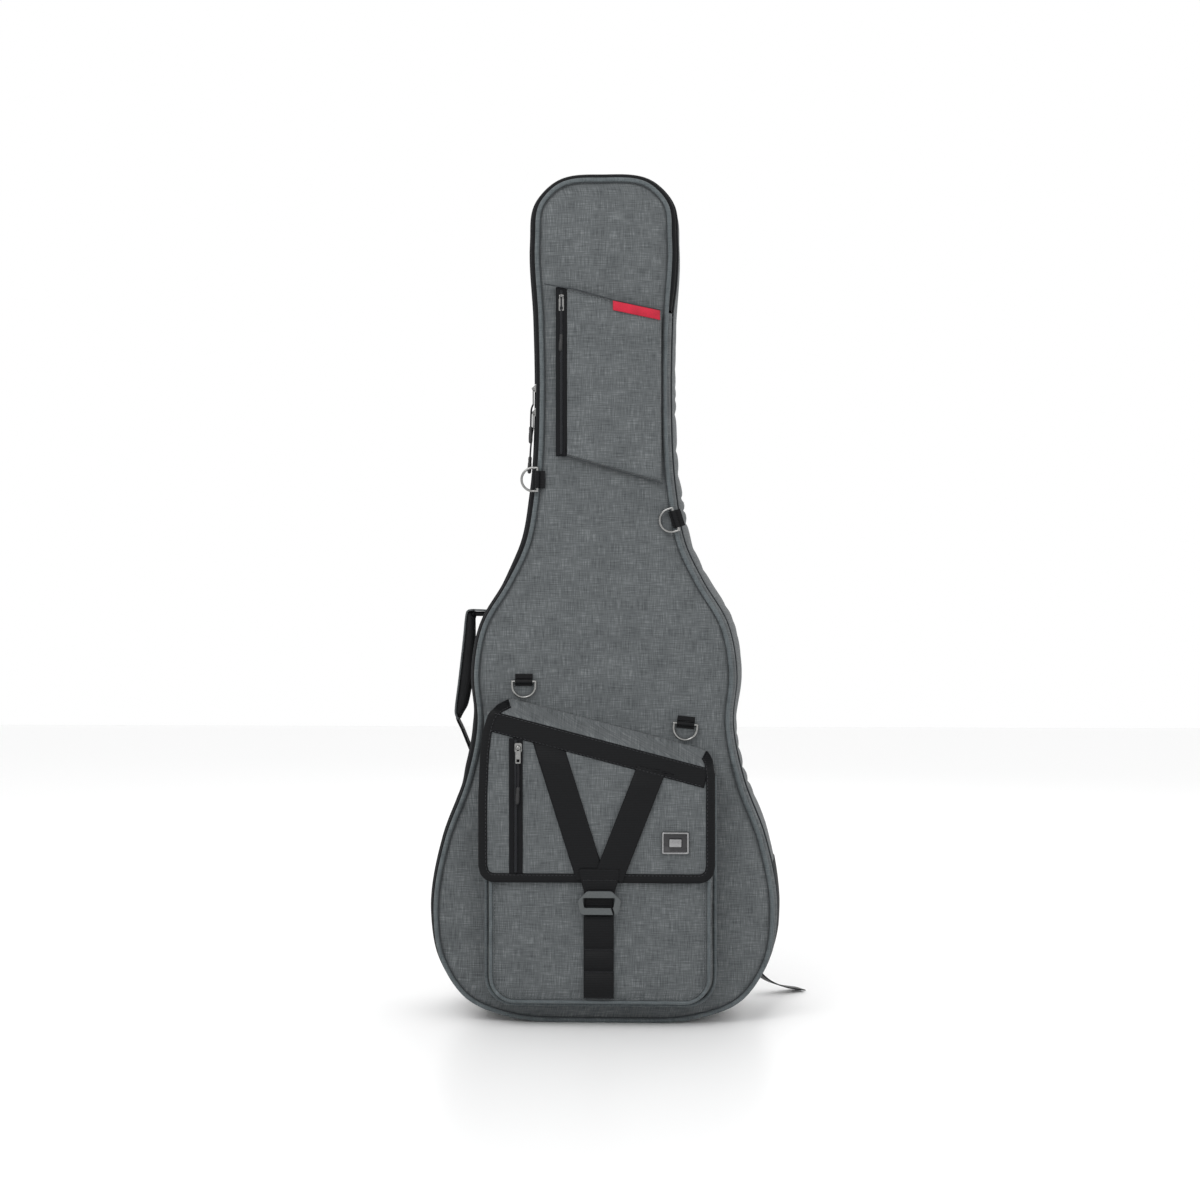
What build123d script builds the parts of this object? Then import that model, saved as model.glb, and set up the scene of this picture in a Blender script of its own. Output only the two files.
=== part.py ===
from build123d import *
import math
import os

# Padded gig bag for an acoustic guitar, standing on its base.
# Millimetres; X to the bag's right as seen from the front, -Y out of the front, +Z up.
# The origin is at the middle of the base's underside, on the plane it stands on.

os.makedirs("parts", exist_ok=True)

# ---- driving dimensions ----
# Right half of the front outline, from the flat base to the middle of the head: (x, z).
HALF_OUTLINE = [
    (60, 0), (120, 5), (182, 30), (217, 83), (225.5, 145), (210, 241), (181, 320),
    (166.7, 395), (171.5, 462), (160, 525), (128, 580), (104, 630), (91, 700),
    (84.3, 830), (86, 930), (90.5, 1035), (85, 1082), (62, 1107), (0, 1116),
]
OUTLINE_STEPS = 4          # short straight sides between two listed points
TOP = 1200                 # above everything, for cutting tools
SIDE = 320                 # beyond both sides, for cutting tools
GUSSET_SWELL = 4           # the side wall stands this far outside the front piping
SWELL_RISE = 150           # height over which that swell grows from nothing
FRONT_Y = -84              # front of the front piping
PANEL_Y = -83              # front of the front panel
LID_BACK_Y = -61.2         # where the zipper parts the lid from the body
BODY_FRONT_Y = -60.6
BACK_Y = 80                # back panel behind the guitar's body
HEAD_BACK_Y = 36           # back panel at TOP
BEND_Z = 520               # the back slopes forward above this height
PIPING = 6
SKIN = 1.5                 # fabric thickness
CLEARANCE = 0.3            # between neighbouring soft pieces
FOAM = 12                  # side padding
BACK_FOAM = 18
LID_FOAM = 18
ZIP_TAPE = 14              # each half of the main zipper's tape
ZIP_END_RIGHT_Z = 938      # the main zipper stops here on the right of the head
ZIP_END_LEFT_Z = 17        # and here at the base's left corner
BASE_COVER_Z = 206

SEAM_SLOPE = 14.7          # pocket flap's top seam, degrees down to the right
SEAM_X, SEAM_Z = 4, 395.4  # a point on that seam
POCKET_FRONT_Y = -116
POCKET_TAPER = 15
FLAP_Y = -119              # inside of the flap in front of the pocket
FLAP_SKIN = 2
FLAP_TURN = 19             # from the seam to where the flap turns down over the pocket
BAND = (20, 46)            # slanted band, measured down from the seam
BINDING = 10

RING_R = 15.4              # D-ring: radius of the round end, to the wire's middle
RING_LEG = 5.5
RING_WIRE = 1.6
RING_Y = PANEL_Y - 4.4

# D-rings: name, bar's middle (x, z), turn about Y that aims the ring's round end.
D_RINGS = [
    ("d_ring_upper_left", -87, 717, 90),
    ("d_ring_upper_right", 95, 664.5, 72.5),
    ("d_ring_lower_left", -105, 450.5, 0),
    ("d_ring_lower_right", 108.5, 395, 6),
]

PULL_LENGTH = 20
PULL_Y = -6.7              # pull's pivot, out from the tape
CORD_D = 2.4
GRIP_D = 5.4
GRIP_LENGTH = 22
# The upper main pull's cord hangs beside the lower slider: (x, y, z) below the pull's end.
UPPER_CORD = [(0, 0, -0.8), (3.2, -1.5, -4.5), (6.6, -2.5, -11), (7.4, -2.7, -31.5)]
LOWER_CORD = [(0, 0, 0), (0.2, -2.5, -12), (0.6, -4, -39)]


def straight_cord(length):
    """A short cord that hangs almost straight from its pull."""
    return [(0, 0, 0), (0.9, 0, -length / 2), (0, 0, -length)]


# Zippers: prefix, slider's middle (x, y, z), turn about Z, cord's route.
ZIP_PULLS = [
    ("upper_main", (-87.8, -60.9, 840), -90, UPPER_CORD),
    ("lower_main", (-87.9, -60.9, 808), -90, LOWER_CORD),
    ("neck_pocket", (-55, -85.2, 959), 0, straight_cord(31)),
    ("flap_pocket", (-109, -122.6, 366), 0, straight_cord(31)),
]


# ---- helpers ----
def smooth_half():
    """Points of the right half outline, eased between the listed ones by cubic curves."""
    points = [Vector(x, 0, z) for x, z in HALF_OUTLINE]
    slopes = [Vector(1, 0, 0)]
    for before, here, after in zip(points, points[1:], points[2:]):
        a, b = here - before, after - here
        slopes.append((a / a.length * b.length + b / b.length * a.length) / (a.length + b.length))
    slopes.append(Vector(-1, 0, 0))
    smooth = []
    for i in range(len(points) - 1):
        p, q = points[i], points[i + 1]
        span = (q - p).length
        for step in range(OUTLINE_STEPS):
            t = step / OUTLINE_STEPS
            along = slopes[i] * (t**3 - 2 * t**2 + t) + slopes[i + 1] * (t**3 - t**2)
            smooth.append(p * (2 * t**3 - 3 * t**2 + 1) + q * (3 * t**2 - 2 * t**3) + along * span)
    smooth.append(points[-1])
    return smooth


SMOOTH_HALF = smooth_half()


def outline_points(inset, swell):
    """Right half of the outline, moved in by inset and out by the side wall's swell."""
    points = []
    last = len(SMOOTH_HALF) - 1
    for i, here in enumerate(SMOOTH_HALF):
        if i in (0, last):
            tangent = Vector(1 if i == 0 else -1, 0, 0)
        else:
            before = (here - SMOOTH_HALF[i - 1]).normalized()
            after = (SMOOTH_HALF[i + 1] - here).normalized()
            tangent = (before + after).normalized()
        move = swell * min(1, here.Z / SWELL_RISE) - inset
        points.append((here.X + tangent.Z * move, 0, here.Z - tangent.X * move))
    return points


def outline_wire(inset, swell=0):
    """Closed outline in the XZ plane."""
    right = outline_points(inset, swell)
    left = [(-x, y, z) for x, y, z in reversed(right[:-1])]
    return Wire.make_polygon(right + left, close=True)


def outline_face(inset, swell=0):
    return Face(outline_wire(inset, swell))


def prism(face, y0, y1):
    """A face in the XZ plane, run from y0 to y1."""
    return Pos(0, y0, 0) * Solid.extrude(face, Vector(0, y1 - y0, 0))


def plate(points, y0, y1):
    """Polygon given as (x, z), run from y0 to y1."""
    wire = Wire.make_polygon([(x, 0, z) for x, z in points], close=True)
    return prism(Face(wire), y0, y1)


def ring(outer, inner, y0, y1, swell=0):
    """Band between two insets of the outline, from y0 to y1."""
    return prism(Face(outline_wire(outer, swell), [outline_wire(inner, swell)]), y0, y1)


def side_wall(outer, inner, back_gap):
    """Wall between two insets, from the lid's joint back to the back's face less back_gap."""
    return ring(outer, inner, BODY_FRONT_Y, BACK_Y + 9, GUSSET_SWELL) & side_profile(None, back_gap)


def block(x0, x1, y0, y1, z0, z1):
    """Box from its corners."""
    centre = Pos((x0 + x1) / 2, (y0 + y1) / 2, (z0 + z1) / 2)
    return centre * Box(x1 - x0, y1 - y0, z1 - z0)


def side_profile(front_gap, back_gap):
    """Full-width cutting slab that follows the back: up to its face less back_gap.
    It starts at the back's face less front_gap, or far in front where front_gap is None."""
    def back(gap):
        return [(BACK_Y - gap, -SIDE), (BACK_Y - gap, BEND_Z), (HEAD_BACK_Y - gap, TOP)]
    fore = [(-SIDE, TOP), (-SIDE, -SIDE)] if front_gap is None else list(reversed(back(front_gap)))
    wire = Wire.make_polygon([(-SIDE, y, z) for y, z in back(back_gap) + fore], close=True)
    return Solid.extrude(Face(wire), Vector(2 * SIDE, 0, 0))


def back_y(z):
    """Outside of the back panel at height z."""
    if z <= BEND_Z:
        return BACK_Y
    return BACK_Y - (BACK_Y - HEAD_BACK_Y) * (z - BEND_Z) / (TOP - BEND_Z)


def zipper_reach(y0, y1):
    """Cutting blocks that hold the main zipper's run: left side, over the head, right of the head."""
    left = block(-SIDE, 0, y0, y1, ZIP_END_LEFT_Z, TOP)
    right = block(0, SIDE, y0, y1, ZIP_END_RIGHT_Z, TOP)
    return left + right


def seam_prism(points):
    """Cross-section given as (s, y), run along the seam."""
    slope = math.radians(SEAM_SLOPE)
    along = Vector(math.cos(slope), 0, -math.sin(slope))
    down = Vector(-math.sin(slope), 0, -math.cos(slope))
    start = Vector(SEAM_X, 0, SEAM_Z) - along * SIDE
    corners = [start + down * s + Vector(0, y, 0) for s, y in points]
    return Solid.extrude(Face(Wire.make_polygon(corners, close=True)), along * 2 * SIDE)


def tube(points, radii, diameter):
    """Round tube along straight runs joined by arcs."""
    path = FilletPolyline(*points, radius=radii) if radii else Polyline(*points)
    start = Plane(origin=path @ 0, z_dir=path % 0)
    return sweep(start * Circle(diameter / 2), path=path)


def strip(points, radii, width, thickness, across):
    """Flat webbing along a path, its width along the across direction."""
    path = FilletPolyline(*points, radius=radii)
    start = Plane(origin=path @ 0, x_dir=across, z_dir=path % 0)
    return sweep(start * Rectangle(width, thickness), path=path)


def run_arcs(points):
    """Largest arc at each corner: 0.45 of the shorter run over the tangent of half the turn."""
    radii = []
    for before, here, after in zip(points, points[1:], points[2:]):
        a = Vector(here) - Vector(before)
        b = Vector(after) - Vector(here)
        turn = math.radians(a.get_angle(b))
        radii.append(0.45 * min(a.length, b.length) / math.tan(turn / 2))
    return radii


def write(name, shape):
    export_step(shape, f"parts/{name}.step")


def group(*shapes):
    """Separate solids of one node."""
    solids = [solid for shape in shapes for solid in shape.solids()]
    return Compound(children=solids)


# ---- body shell ----
def make_body():
    reach = zipper_reach(BODY_FRONT_Y - 1, BODY_FRONT_Y + ZIP_TAPE)
    cover_zone = block(-SIDE, SIDE, BODY_FRONT_Y + ZIP_TAPE, BACK_Y + 1, -1, BASE_COVER_Z)
    write("base_cover", side_wall(0, SKIN, 2) & cover_zone)

    gusset = side_wall(SKIN, 2 * SKIN, 2)
    write("side_gusset", gusset - reach)
    write("zipper_tape_body", gusset & reach)

    inner = 2 * SKIN + FOAM
    back_start = 2 + BACK_FOAM
    write("gusset_foam", side_wall(2 * SKIN, inner, back_start))

    whole_back = prism(outline_face(2 * SKIN, GUSSET_SWELL), -SIDE / 4, BACK_Y + 1)
    write("back_foam", whole_back & side_profile(back_start, 2))

    panel_back = prism(outline_face(0, GUSSET_SWELL), -SIDE / 4, BACK_Y + 1)
    write("back_panel", panel_back & side_profile(2, 0))

    rim = ring(0, PIPING, -SIDE / 4, BACK_Y + 9, GUSSET_SWELL)
    write("back_piping", rim & side_profile(0, -5))

    tub = prism(outline_face(inner, GUSSET_SWELL), BODY_FRONT_Y, BACK_Y + 1)
    hollow = prism(outline_face(inner + 1, GUSSET_SWELL), BODY_FRONT_Y - 1, BACK_Y + 1)
    hollow = hollow & side_profile(None, back_start + 1)
    write("body_lining", (tub & side_profile(None, back_start)) - hollow)


def make_interior_pads():
    """Neck cradle with its U-shaped rest, and the block under the guitar's end pin."""
    z0, z1 = 700, 760
    rear = back_y(z1) - BACK_FOAM - 2 - 1 - CLEARANCE
    cradle = block(-62, 62, -6, rear, z0, z1) - block(-30, 30, -7, rear - 14, z0 - 1, z1 + 1)
    floor = 2 * SKIN + FOAM + 1 + CLEARANCE
    end_block = block(-56, 56, -48, BACK_Y - BACK_FOAM - 3 - CLEARANCE, floor, floor + 28)
    write("interior_pads", group(cradle, end_block))


def make_back_pads():
    lower = block(-52, 52, BACK_Y, BACK_Y + 8, 120, 330)
    upper = block(-52, 52, BACK_Y, BACK_Y + 8, 365, 505)
    corners = [fillet(pad.edges().filter_by(Axis.Y), 22) for pad in (lower, upper)]
    write("back_pads", group(*corners))


# ---- lid ----
def make_lid():
    write("front_piping", ring(0, PIPING, FRONT_Y, FRONT_Y + 7))
    write("front_panel", prism(outline_face(PIPING), PANEL_Y, PANEL_Y + 2))
    foam_back = PANEL_Y + 2 + LID_FOAM
    write("front_foam", prism(outline_face(PIPING + 2), PANEL_Y + 2, foam_back))
    write("front_lining", prism(outline_face(PIPING + 3), foam_back, foam_back + 1))

    wall = ring(SKIN, 2 * SKIN, FRONT_Y + 7, LID_BACK_Y, GUSSET_SWELL)
    reach = zipper_reach(FRONT_Y, LID_BACK_Y + 1)
    write("zipper_tape_lid", wall & reach)
    hinge = ring(SKIN, 2 * SKIN, FRONT_Y + 7.4, LID_BACK_Y, GUSSET_SWELL)
    write("hinge_strip", hinge - reach)


NECK_ZIP_X = (-62.4, -48)
NECK_ZIP_Z = (747, 970)


def make_neck_pocket():
    """Flat pocket on the neck: slanted upper and lower seams, zipper along its left edge."""
    x0, x1 = NECK_ZIP_X
    cover = plate([(x1, 745), (x1, 968), (14, 952), (73, 939), (73, 714)], PANEL_Y - 2, PANEL_Y)
    inside = prism(outline_face(PIPING + 1), PANEL_Y - 3, PANEL_Y + 1)
    write("neck_pocket", cover & inside)
    write("neck_zip_tape", block(x0, x1, PANEL_Y - 1.2, PANEL_Y, *NECK_ZIP_Z))
    label = plate([(13, 940), (13, 952.5), (75, 938.5), (75, 926)], PANEL_Y - 3.4, PANEL_Y - 2)
    write("side_label", label)


def pocket_face(grow):
    """Accessory pocket's base outline; its top runs parallel to the flap's seam."""
    x0, x1, z0 = -152 - grow, 144.7 + grow, 27.7 - grow
    slope = math.tan(math.radians(SEAM_SLOPE))
    line = SEAM_Z - 24 / math.cos(math.radians(SEAM_SLOPE))
    top_left = line - (x0 - SEAM_X) * slope
    top_right = line - (x1 - SEAM_X) * slope
    corners = [(x0, 0, top_left), (x0, 0, z0), (x1, 0, z0), (x1, 0, top_right)]
    face = Face(Wire.make_polygon(corners, close=True))
    round_ones = [v for v in face.vertices() if v.Z < z0 + 1]
    return face.fillet_2d(36 + grow, round_ones)


def tapered(face, depth):
    """A face in the XZ plane run forward from the front panel, narrowing as it goes."""
    solid = extrude(face, amount=depth, dir=(0, -1, 0), taper=POCKET_TAPER)
    return Pos(0, PANEL_Y, 0) * solid


def make_pocket():
    depth = PANEL_Y - POCKET_FRONT_Y
    outer = tapered(pocket_face(0), depth)
    inner = tapered(pocket_face(-2), depth + 1)
    below = seam_prism([(27, -60), (500, -60), (500, -160), (27, -160)])
    open_top = seam_prism([(0, -60), (60, -60), (60, POCKET_FRONT_Y + 2), (0, POCKET_FRONT_Y + 2)])
    inner_reach = inner + (open_top & block(-136, 129, -130, PANEL_Y + 1, 300, 440))
    front_zone = block(-SIDE, SIDE, POCKET_FRONT_Y, POCKET_FRONT_Y + 2, 0, 500)
    write("pocket_front", outer & below & front_zone)
    write("pocket_gusset", ((outer - inner_reach) & below) - front_zone)

    narrowing = depth * math.tan(math.radians(POCKET_TAPER))
    front_pipe = pocket_pipe(narrowing - 3.8, POCKET_FRONT_Y + 0.6)
    base_pipe = pocket_pipe(-2.6, PANEL_Y - 2.6)
    write("pocket_piping", group(front_pipe, base_pipe))


def pocket_pipe(inset, y):
    """Piping down one side, round the bottom and up the other."""
    x0, x1, z0 = -152 + inset, 144.7 - inset, 27.7 + inset
    slope = math.tan(math.radians(SEAM_SLOPE))
    line = SEAM_Z - 30 / math.cos(math.radians(SEAM_SLOPE))
    points = [
        (x0, y, line - (x0 - SEAM_X) * slope), (x0, y, z0),
        (x1, y, z0), (x1, y, line - (x1 - SEAM_X) * slope),
    ]
    radius = 36 - inset / 2
    return tube(points, [radius, radius], 4.6)


DAISY_X = -4.5
DAISY_WIDTH = 39
DAISY_LOOPS = [(41, 72), (76, 101), (105, 149)]
LOOP_GAP = 4.6


def make_daisy_chain():
    """Webbing down the pocket's front, raised into loops between its bar tacks."""
    half = DAISY_WIDTH / 2
    y0 = POCKET_FRONT_Y
    shape = block(-half, half, y0 - 1.4, y0, 39.5, 240)
    for z0, z1 in DAISY_LOOPS:
        outer = block(-half, half, y0 - LOOP_GAP - 2.8, y0, z0 - 1, z1 + 1)
        inner = block(-half - 1, half + 1, y0 - LOOP_GAP - 1.4, y0 - 1.4, z0 + 1, z1 - 1)
        shape = shape + outer - inner
    write("daisy_chain", Pos(DAISY_X, 0, 0) * shape)


def make_d_rings():
    """Each ring hangs by its bar in a webbing tab sewn to the front panel."""
    bar_half = RING_R
    sleeve_in, sleeve_out, tab = RING_WIRE + 0.35, RING_WIRE + 1.55, 23
    tabs = []
    for name, x, z, turn in D_RINGS:
        place = Pos(x, RING_Y, z) * Rot(0, turn, 0)
        shape = Rot(0, 90, 0) * Cylinder(RING_WIRE, 2 * bar_half)
        for side in (-1, 1):
            shape += Pos(side * RING_R, 0, 0) * Sphere(RING_WIRE)
            shape += Pos(side * RING_R, 0, -RING_LEG / 2) * Cylinder(RING_WIRE, RING_LEG)
        bow = revolve(Plane.XY * Pos(RING_R, 0) * Circle(RING_WIRE), Axis.Y, 180)
        shape += Pos(0, 0, -RING_LEG) * bow
        write(name, place * shape)

        sleeve = Rot(0, 90, 0) * (Cylinder(sleeve_out, tab) - Cylinder(sleeve_in, tab + 2))
        depth = FRONT_Y - RING_Y
        patch = block(-tab / 2, tab / 2, sleeve_in + 0.3, depth, -6, 10)
        tabs.append(place * (sleeve + patch))
    write("d_ring_tabs", group(*tabs))


# ---- pocket flap ----
def flap_face(inset):
    """Flap's outline as seen from the front, moved in by inset on all but its seam."""
    corners = [
        (-121 + inset, 428.2 - inset / 2), (-143 + inset, 417 - inset / 2), (-156 + inset, 380),
        (-160.5 + inset, 192 + inset), (145.5 - inset, 192 + inset), (144.5 - inset, 349),
        (129 - inset, 362.6 + inset / 4),
    ]
    corners = [(x, 0, z) for x, z in corners]
    path = FilletPolyline(*corners, radius=[24, 24, 22 - inset, 18 - inset, 9])
    return Face(Wire(list(path.edges()) + [Line(corners[-1], corners[0])]))


def flap_layer(inside, outside):
    """Cross-section of one layer of the flap, between two distances in front of its inner side."""
    turn = FLAP_TURN
    y_seam = PANEL_Y - 0.6
    near = [(1 + 4 - inside, y_seam), (turn + 3 - inside, FLAP_Y - inside), (500, FLAP_Y - inside)]
    far = [(500, FLAP_Y - outside), (turn + 3 - outside, FLAP_Y - outside), (5 - outside, y_seam)]
    return seam_prism(near + far)


def make_flap():
    whole = prism(flap_face(0), -160, PANEL_Y)
    middle = prism(flap_face(BINDING), -160, PANEL_Y)
    below_seam = seam_prism([(0.2, -60), (500, -60), (500, -160), (0.2, -160)])
    panel = flap_layer(0.4, 0.4 + FLAP_SKIN) & whole & below_seam
    edge = flap_layer(0.4 + FLAP_SKIN, 0.4 + FLAP_SKIN + 1) & below_seam
    write("flap_panel", panel)
    write("flap_binding", (edge & whole) - middle)
    front = FLAP_Y - 0.4 - FLAP_SKIN
    band = seam_prism([(BAND[0], front), (BAND[1], front), (BAND[1], front - 1.4), (BAND[0], front - 1.4)])
    write("flap_band", band & middle)
    tape = block(-121, -103.5, front - 1.1, front, 202.5, 385)
    under_band = seam_prism([(BAND[1], -60), (500, -60), (500, -160), (BAND[1], -160)])
    write("flap_zip_tape", tape & under_band)
    make_v_straps(front, under_band)
    make_badge(front)


HOOK_X, HOOK_Z = -3.3, 164.5
HOOK_BAR_Z = HOOK_Z + 11.3
HOOK_Y = -126.6


def make_v_straps(front, under_band):
    """Two webbing arms that meet above the hook, and the loop that holds its top bar."""
    left = [(-88, 372), (-48, 372), (-4, 213), (-14, 184), (-32, 184)]
    right = [(46, 336), (84, 336), (26, 184), (8, 184), (-8, 216)]
    y0 = front - 1.1
    arms = plate(left, y0 - 1.4, y0) + plate(right, y0 - 1.4, y0)
    arms = arms + plate([(-40, 213), (36, 213), (24, 184), (-31, 184)], y0 - 1.4, y0)
    arms = arms & under_band
    loop = Rot(0, 90, 0) * (Cylinder(6.2, 38) - Cylinder(4.9, 42))
    loop = Pos(HOOK_X, HOOK_Y, HOOK_BAR_Z) * loop
    neck = block(HOOK_X - 19, HOOK_X + 19, y0 - 1.4, y0, HOOK_BAR_Z + 3.2, 186)
    bore = Pos(HOOK_X, HOOK_Y, HOOK_BAR_Z) * Rot(0, 90, 0) * Cylinder(4.9, 60)
    write("v_straps", arms + loop + (neck - bore))


def make_badge(front):
    frame = block(77.4, 113, front - 3.5, front, 228.2, 257.2)
    frame = fillet(frame.edges().filter_by(Axis.Y), 2)
    recess = block(80, 110.4, front - 4, front - 2.4, 230.8, 254.6)
    write("badge", frame - recess)


def make_hook():
    """Open-gate hook: a flat ring whose lower bar has a slit at its right end."""
    outline = [(-16, 15.6), (16, 15.6), (28.2, 3), (24.5, -14.8), (-24.5, -14.8), (-28.2, 3)]
    window = [(-22, 7), (21, 7), (18, -6.2), (-20, -6.2)]
    body = plate(outline, -2, 2)
    body = fillet(body.edges().filter_by(Axis.Y), 6)
    hole = plate(window, -3, 3)
    hole = fillet(hole.edges().filter_by(Axis.Y), 2)
    slit = plate([(14.5, -5), (17, -5), (21, -16), (18, -16)], -3, 3)
    write("hook_buckle", Pos(HOOK_X, HOOK_Y, HOOK_Z) * (body - hole - slit))


# ---- zipper pulls ----
def make_zip_pull(prefix, place, turn, cord):
    """Slider on its tape, with a pull that swings on a pin, a cord through it and a moulded grip."""
    frame = Pos(*place) * Rot(0, 0, turn)
    base = block(-4.6, 4.6, -4.4, -0.6, -6, 6)
    base = fillet(base.edges().filter_by(Axis.Y), 2)
    post = block(-1.1, 1.1, -8, -4.3, -2.2, 1.2)
    eye = Pos(0, PULL_Y, -0.5) * Rot(0, 90, 0) * Cylinder(0.62, 6)
    write(f"{prefix}_slider", frame * (base + post - eye))

    ears = Pos(0, PULL_Y, -0.5) * Rot(0, 90, 0) * (Cylinder(1.8, 5.6) - Cylinder(2.4, 3.0))
    pin = Pos(0, PULL_Y, -0.5) * Rot(0, 90, 0) * Cylinder(0.55, 5.6)
    neck = block(-2.8, -1.5, PULL_Y - 0.7, PULL_Y + 0.7, -4.4, -0.5)
    neck = neck + block(1.5, 2.8, PULL_Y - 0.7, PULL_Y + 0.7, -4.4, -0.5)
    end = -0.5 - PULL_LENGTH
    blade = block(-3.4, 3.4, PULL_Y - 0.7, PULL_Y + 0.7, end, -4)
    blade = fillet(blade.edges().filter_by(Axis.Y), 1.2)
    hole = block(-2, 2, PULL_Y - 2, PULL_Y + 2, end + 1.8, end + 5.6)
    write(f"{prefix}_pull", frame * (ears + pin + neck + blade - hole))

    route = [(x, PULL_Y + y, end - 0.1 + z) for x, y, z in cord]
    radii = run_arcs(route)
    print(prefix, "cord arc radius", [round(r) for r in radii])
    cord_solid = frame * tube(route, radii, CORD_D)
    heading = (Vector(route[-1]) - Vector(route[-2])).normalized()
    grip_plane = Plane(origin=route[-1], z_dir=heading)
    grip = Solid.make_cylinder(GRIP_D / 2, GRIP_LENGTH, grip_plane)
    grip = frame * fillet(grip.edges(), 1.6)
    if prefix.endswith("main"):
        write(f"{prefix}_cord", cord_solid)
        write(f"{prefix}_grip", grip)
    else:
        write(f"{prefix}_cord", group(cord_solid, grip))


# ---- handles ----
HANDLE_AXIS_X = -181


def make_side_handle():
    """Padded carrying handle on the left side, at the waist."""
    half = 17
    axis_x = HANDLE_AXIS_X
    grip = plate([
        (axis_x - 1, 538), (axis_x - 1, 546), (-188, 547), (-198, 533), (-212, 410), (-206, 396),
        (-196, 397), (-190, 412), (-186, 470), (-184, 538),
    ], -half, half)
    tail = plate([(-206, 396), (-203, 392), (-184, 352), (axis_x - 0.5, 354), (-198, 397)], -12.5, 12.5)
    write("side_handle", grip + tail)
    upper = plate([(-156.5, 539.5), (-156.5, 544), (-175.6, 544), (-175.6, 539.5)], -12.5, 12.5)
    lower = plate([(-181.4, 337), (-178.4, 351.2), (-181.6, 351.2), (-184.4, 337)], -12.5, 12.5)
    write("handle_anchors", group(upper, lower))


REAR_HANDLE_Z = (905, 1015)


def make_rear_handle():
    """Webbing grab loop on the back of the neck, for hanging and lifting."""
    z0, z1 = REAR_HANDLE_Z
    y0, y1 = back_y(z0) + 0.6, back_y(z1) + 0.6
    outer = [(z0, y0), (z0 + 12, y0 + 34), (z1 - 12, y1 + 36), (z1, y1)]
    inner = [(z1 - 4, y1), (z1 - 15, y1 + 32), (z0 + 15, y0 + 30), (z0 + 4, y0)]
    wire = Wire.make_polygon([(-12.5, y, z) for z, y in outer + inner], close=True)
    write("rear_handle", Solid.extrude(Face(wire), Vector(25, 0, 0)))


# ---- shoulder straps ----
STRAP_TOP = (52, 655)
STRAP_CENTRE = [(52, 655), (66, 600), (92, 520), (112, 430), (120, 340), (116, 285)]
STRAP_HALF = 32
STRAP_Y = (BACK_Y + 9, BACK_Y + 23)
LOCK = (178, 112)


def make_shoulder_pad(side):
    """Padded strap, curved in the plane of the back."""
    inner, outer = [], []
    last = len(STRAP_CENTRE) - 1
    for i, (x, z) in enumerate(STRAP_CENTRE):
        x0, z0 = STRAP_CENTRE[max(i - 1, 0)]
        x1, z1 = STRAP_CENTRE[min(i + 1, last)]
        run = Vector(x1 - x0, 0, z1 - z0).normalized()
        half = STRAP_HALF if 0 < i < last else STRAP_HALF * 0.62
        inner.append((side * (x + run.Z * half), 0, z - run.X * half))
        outer.append((side * (x - run.Z * half), 0, z + run.X * half))
    edges = [Spline(*inner), Line(inner[-1], outer[-1]), Spline(*reversed(outer)), Line(outer[0], inner[0])]
    return prism(Face(Wire(edges)), *STRAP_Y)


def make_straps():
    locks, anchors = [], []
    for side, word in ((-1, "left"), (1, "right")):
        write(f"shoulder_pad_{word}", make_shoulder_pad(side))
        x, z = LOCK
        x0, z0 = STRAP_CENTRE[-1]
        y = (STRAP_Y[0] + STRAP_Y[1]) / 2
        run = Vector(side * (x - x0), 0, z - z0)
        ahead = run.normalized()
        across = Vector(ahead.Z, 0, -ahead.X) * 12.5
        start = Vector(side * x0, y, z0) + ahead * 6
        end = Vector(side * x, y, z) - ahead * 14
        corners = [start + across, start - across, end - across, end + across]
        web = Face(Wire.make_polygon(corners, close=True))
        web = Pos(0, -0.8, 0) * Solid.extrude(web, Vector(0, 1.6, 0))
        write(f"lower_webbing_{word}", web)

        tilt = math.degrees(math.atan2(ahead.X, -ahead.Z))
        place = Pos(side * x, y, z) * Rot(0, -tilt, 0)
        lock = block(-18, 18, -3, 3, -12, 12)
        lock = fillet(lock.edges().filter_by(Axis.Y), 4)
        for centre in (5, -5):
            lock = lock - block(-13.5, 13.5, -4, 4, centre - 1.9, centre + 1.9)
        locks.append(place * lock)
        foot = plate([
            (side * 150, 62), (side * 196, 84), (side * (x + 12), z - 16), (side * (x - 8), z - 20),
        ], BACK_Y, BACK_Y + 3)
        tongue = place * block(-12.5, 12.5, 0, 1.6, -18, -12)
        tongue = tongue + place * block(-12.5, 12.5, -8, 1.6, -20, -18)
        anchors.append(foot)
        anchors.append(tongue)
        yoke = block(side * 52 - 20, side * 52 + 20, back_y(650), BACK_Y + 20, 664, 670)
        anchors.append(yoke)
    write("ladder_locks", group(*locks))
    write("strap_anchors", group(*anchors))


TAIL_WIDTH = 25
# Adjuster tails: word, start (x, y), plan direction, then (distance along, height).
TAILS = [
    ("right", (186, 98), (0.87, 0.5), [(0, 88), (14, 50), (36, 24), (66, 9), (100, 1.3)]),
    ("left", (-178, 98), (0.5, 0.87), [(0, 88), (10, 52), (22, 26), (42, 8), (78, 1.3)]),
]


def make_tails():
    """Free ends of the adjuster webbing, hanging to the floor behind the bag."""
    for word, (x, y), (dx, dy), heights in TAILS:
        points = [(x + dx * along, y + dy * along, z) for along, z in heights]
        radii = [0.8 * r for r in run_arcs(points)]
        tail = strip(points, radii, TAIL_WIDTH, 1.6, (-dy, dx, 0))
        write(f"strap_tail_{word}", tail)


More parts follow.
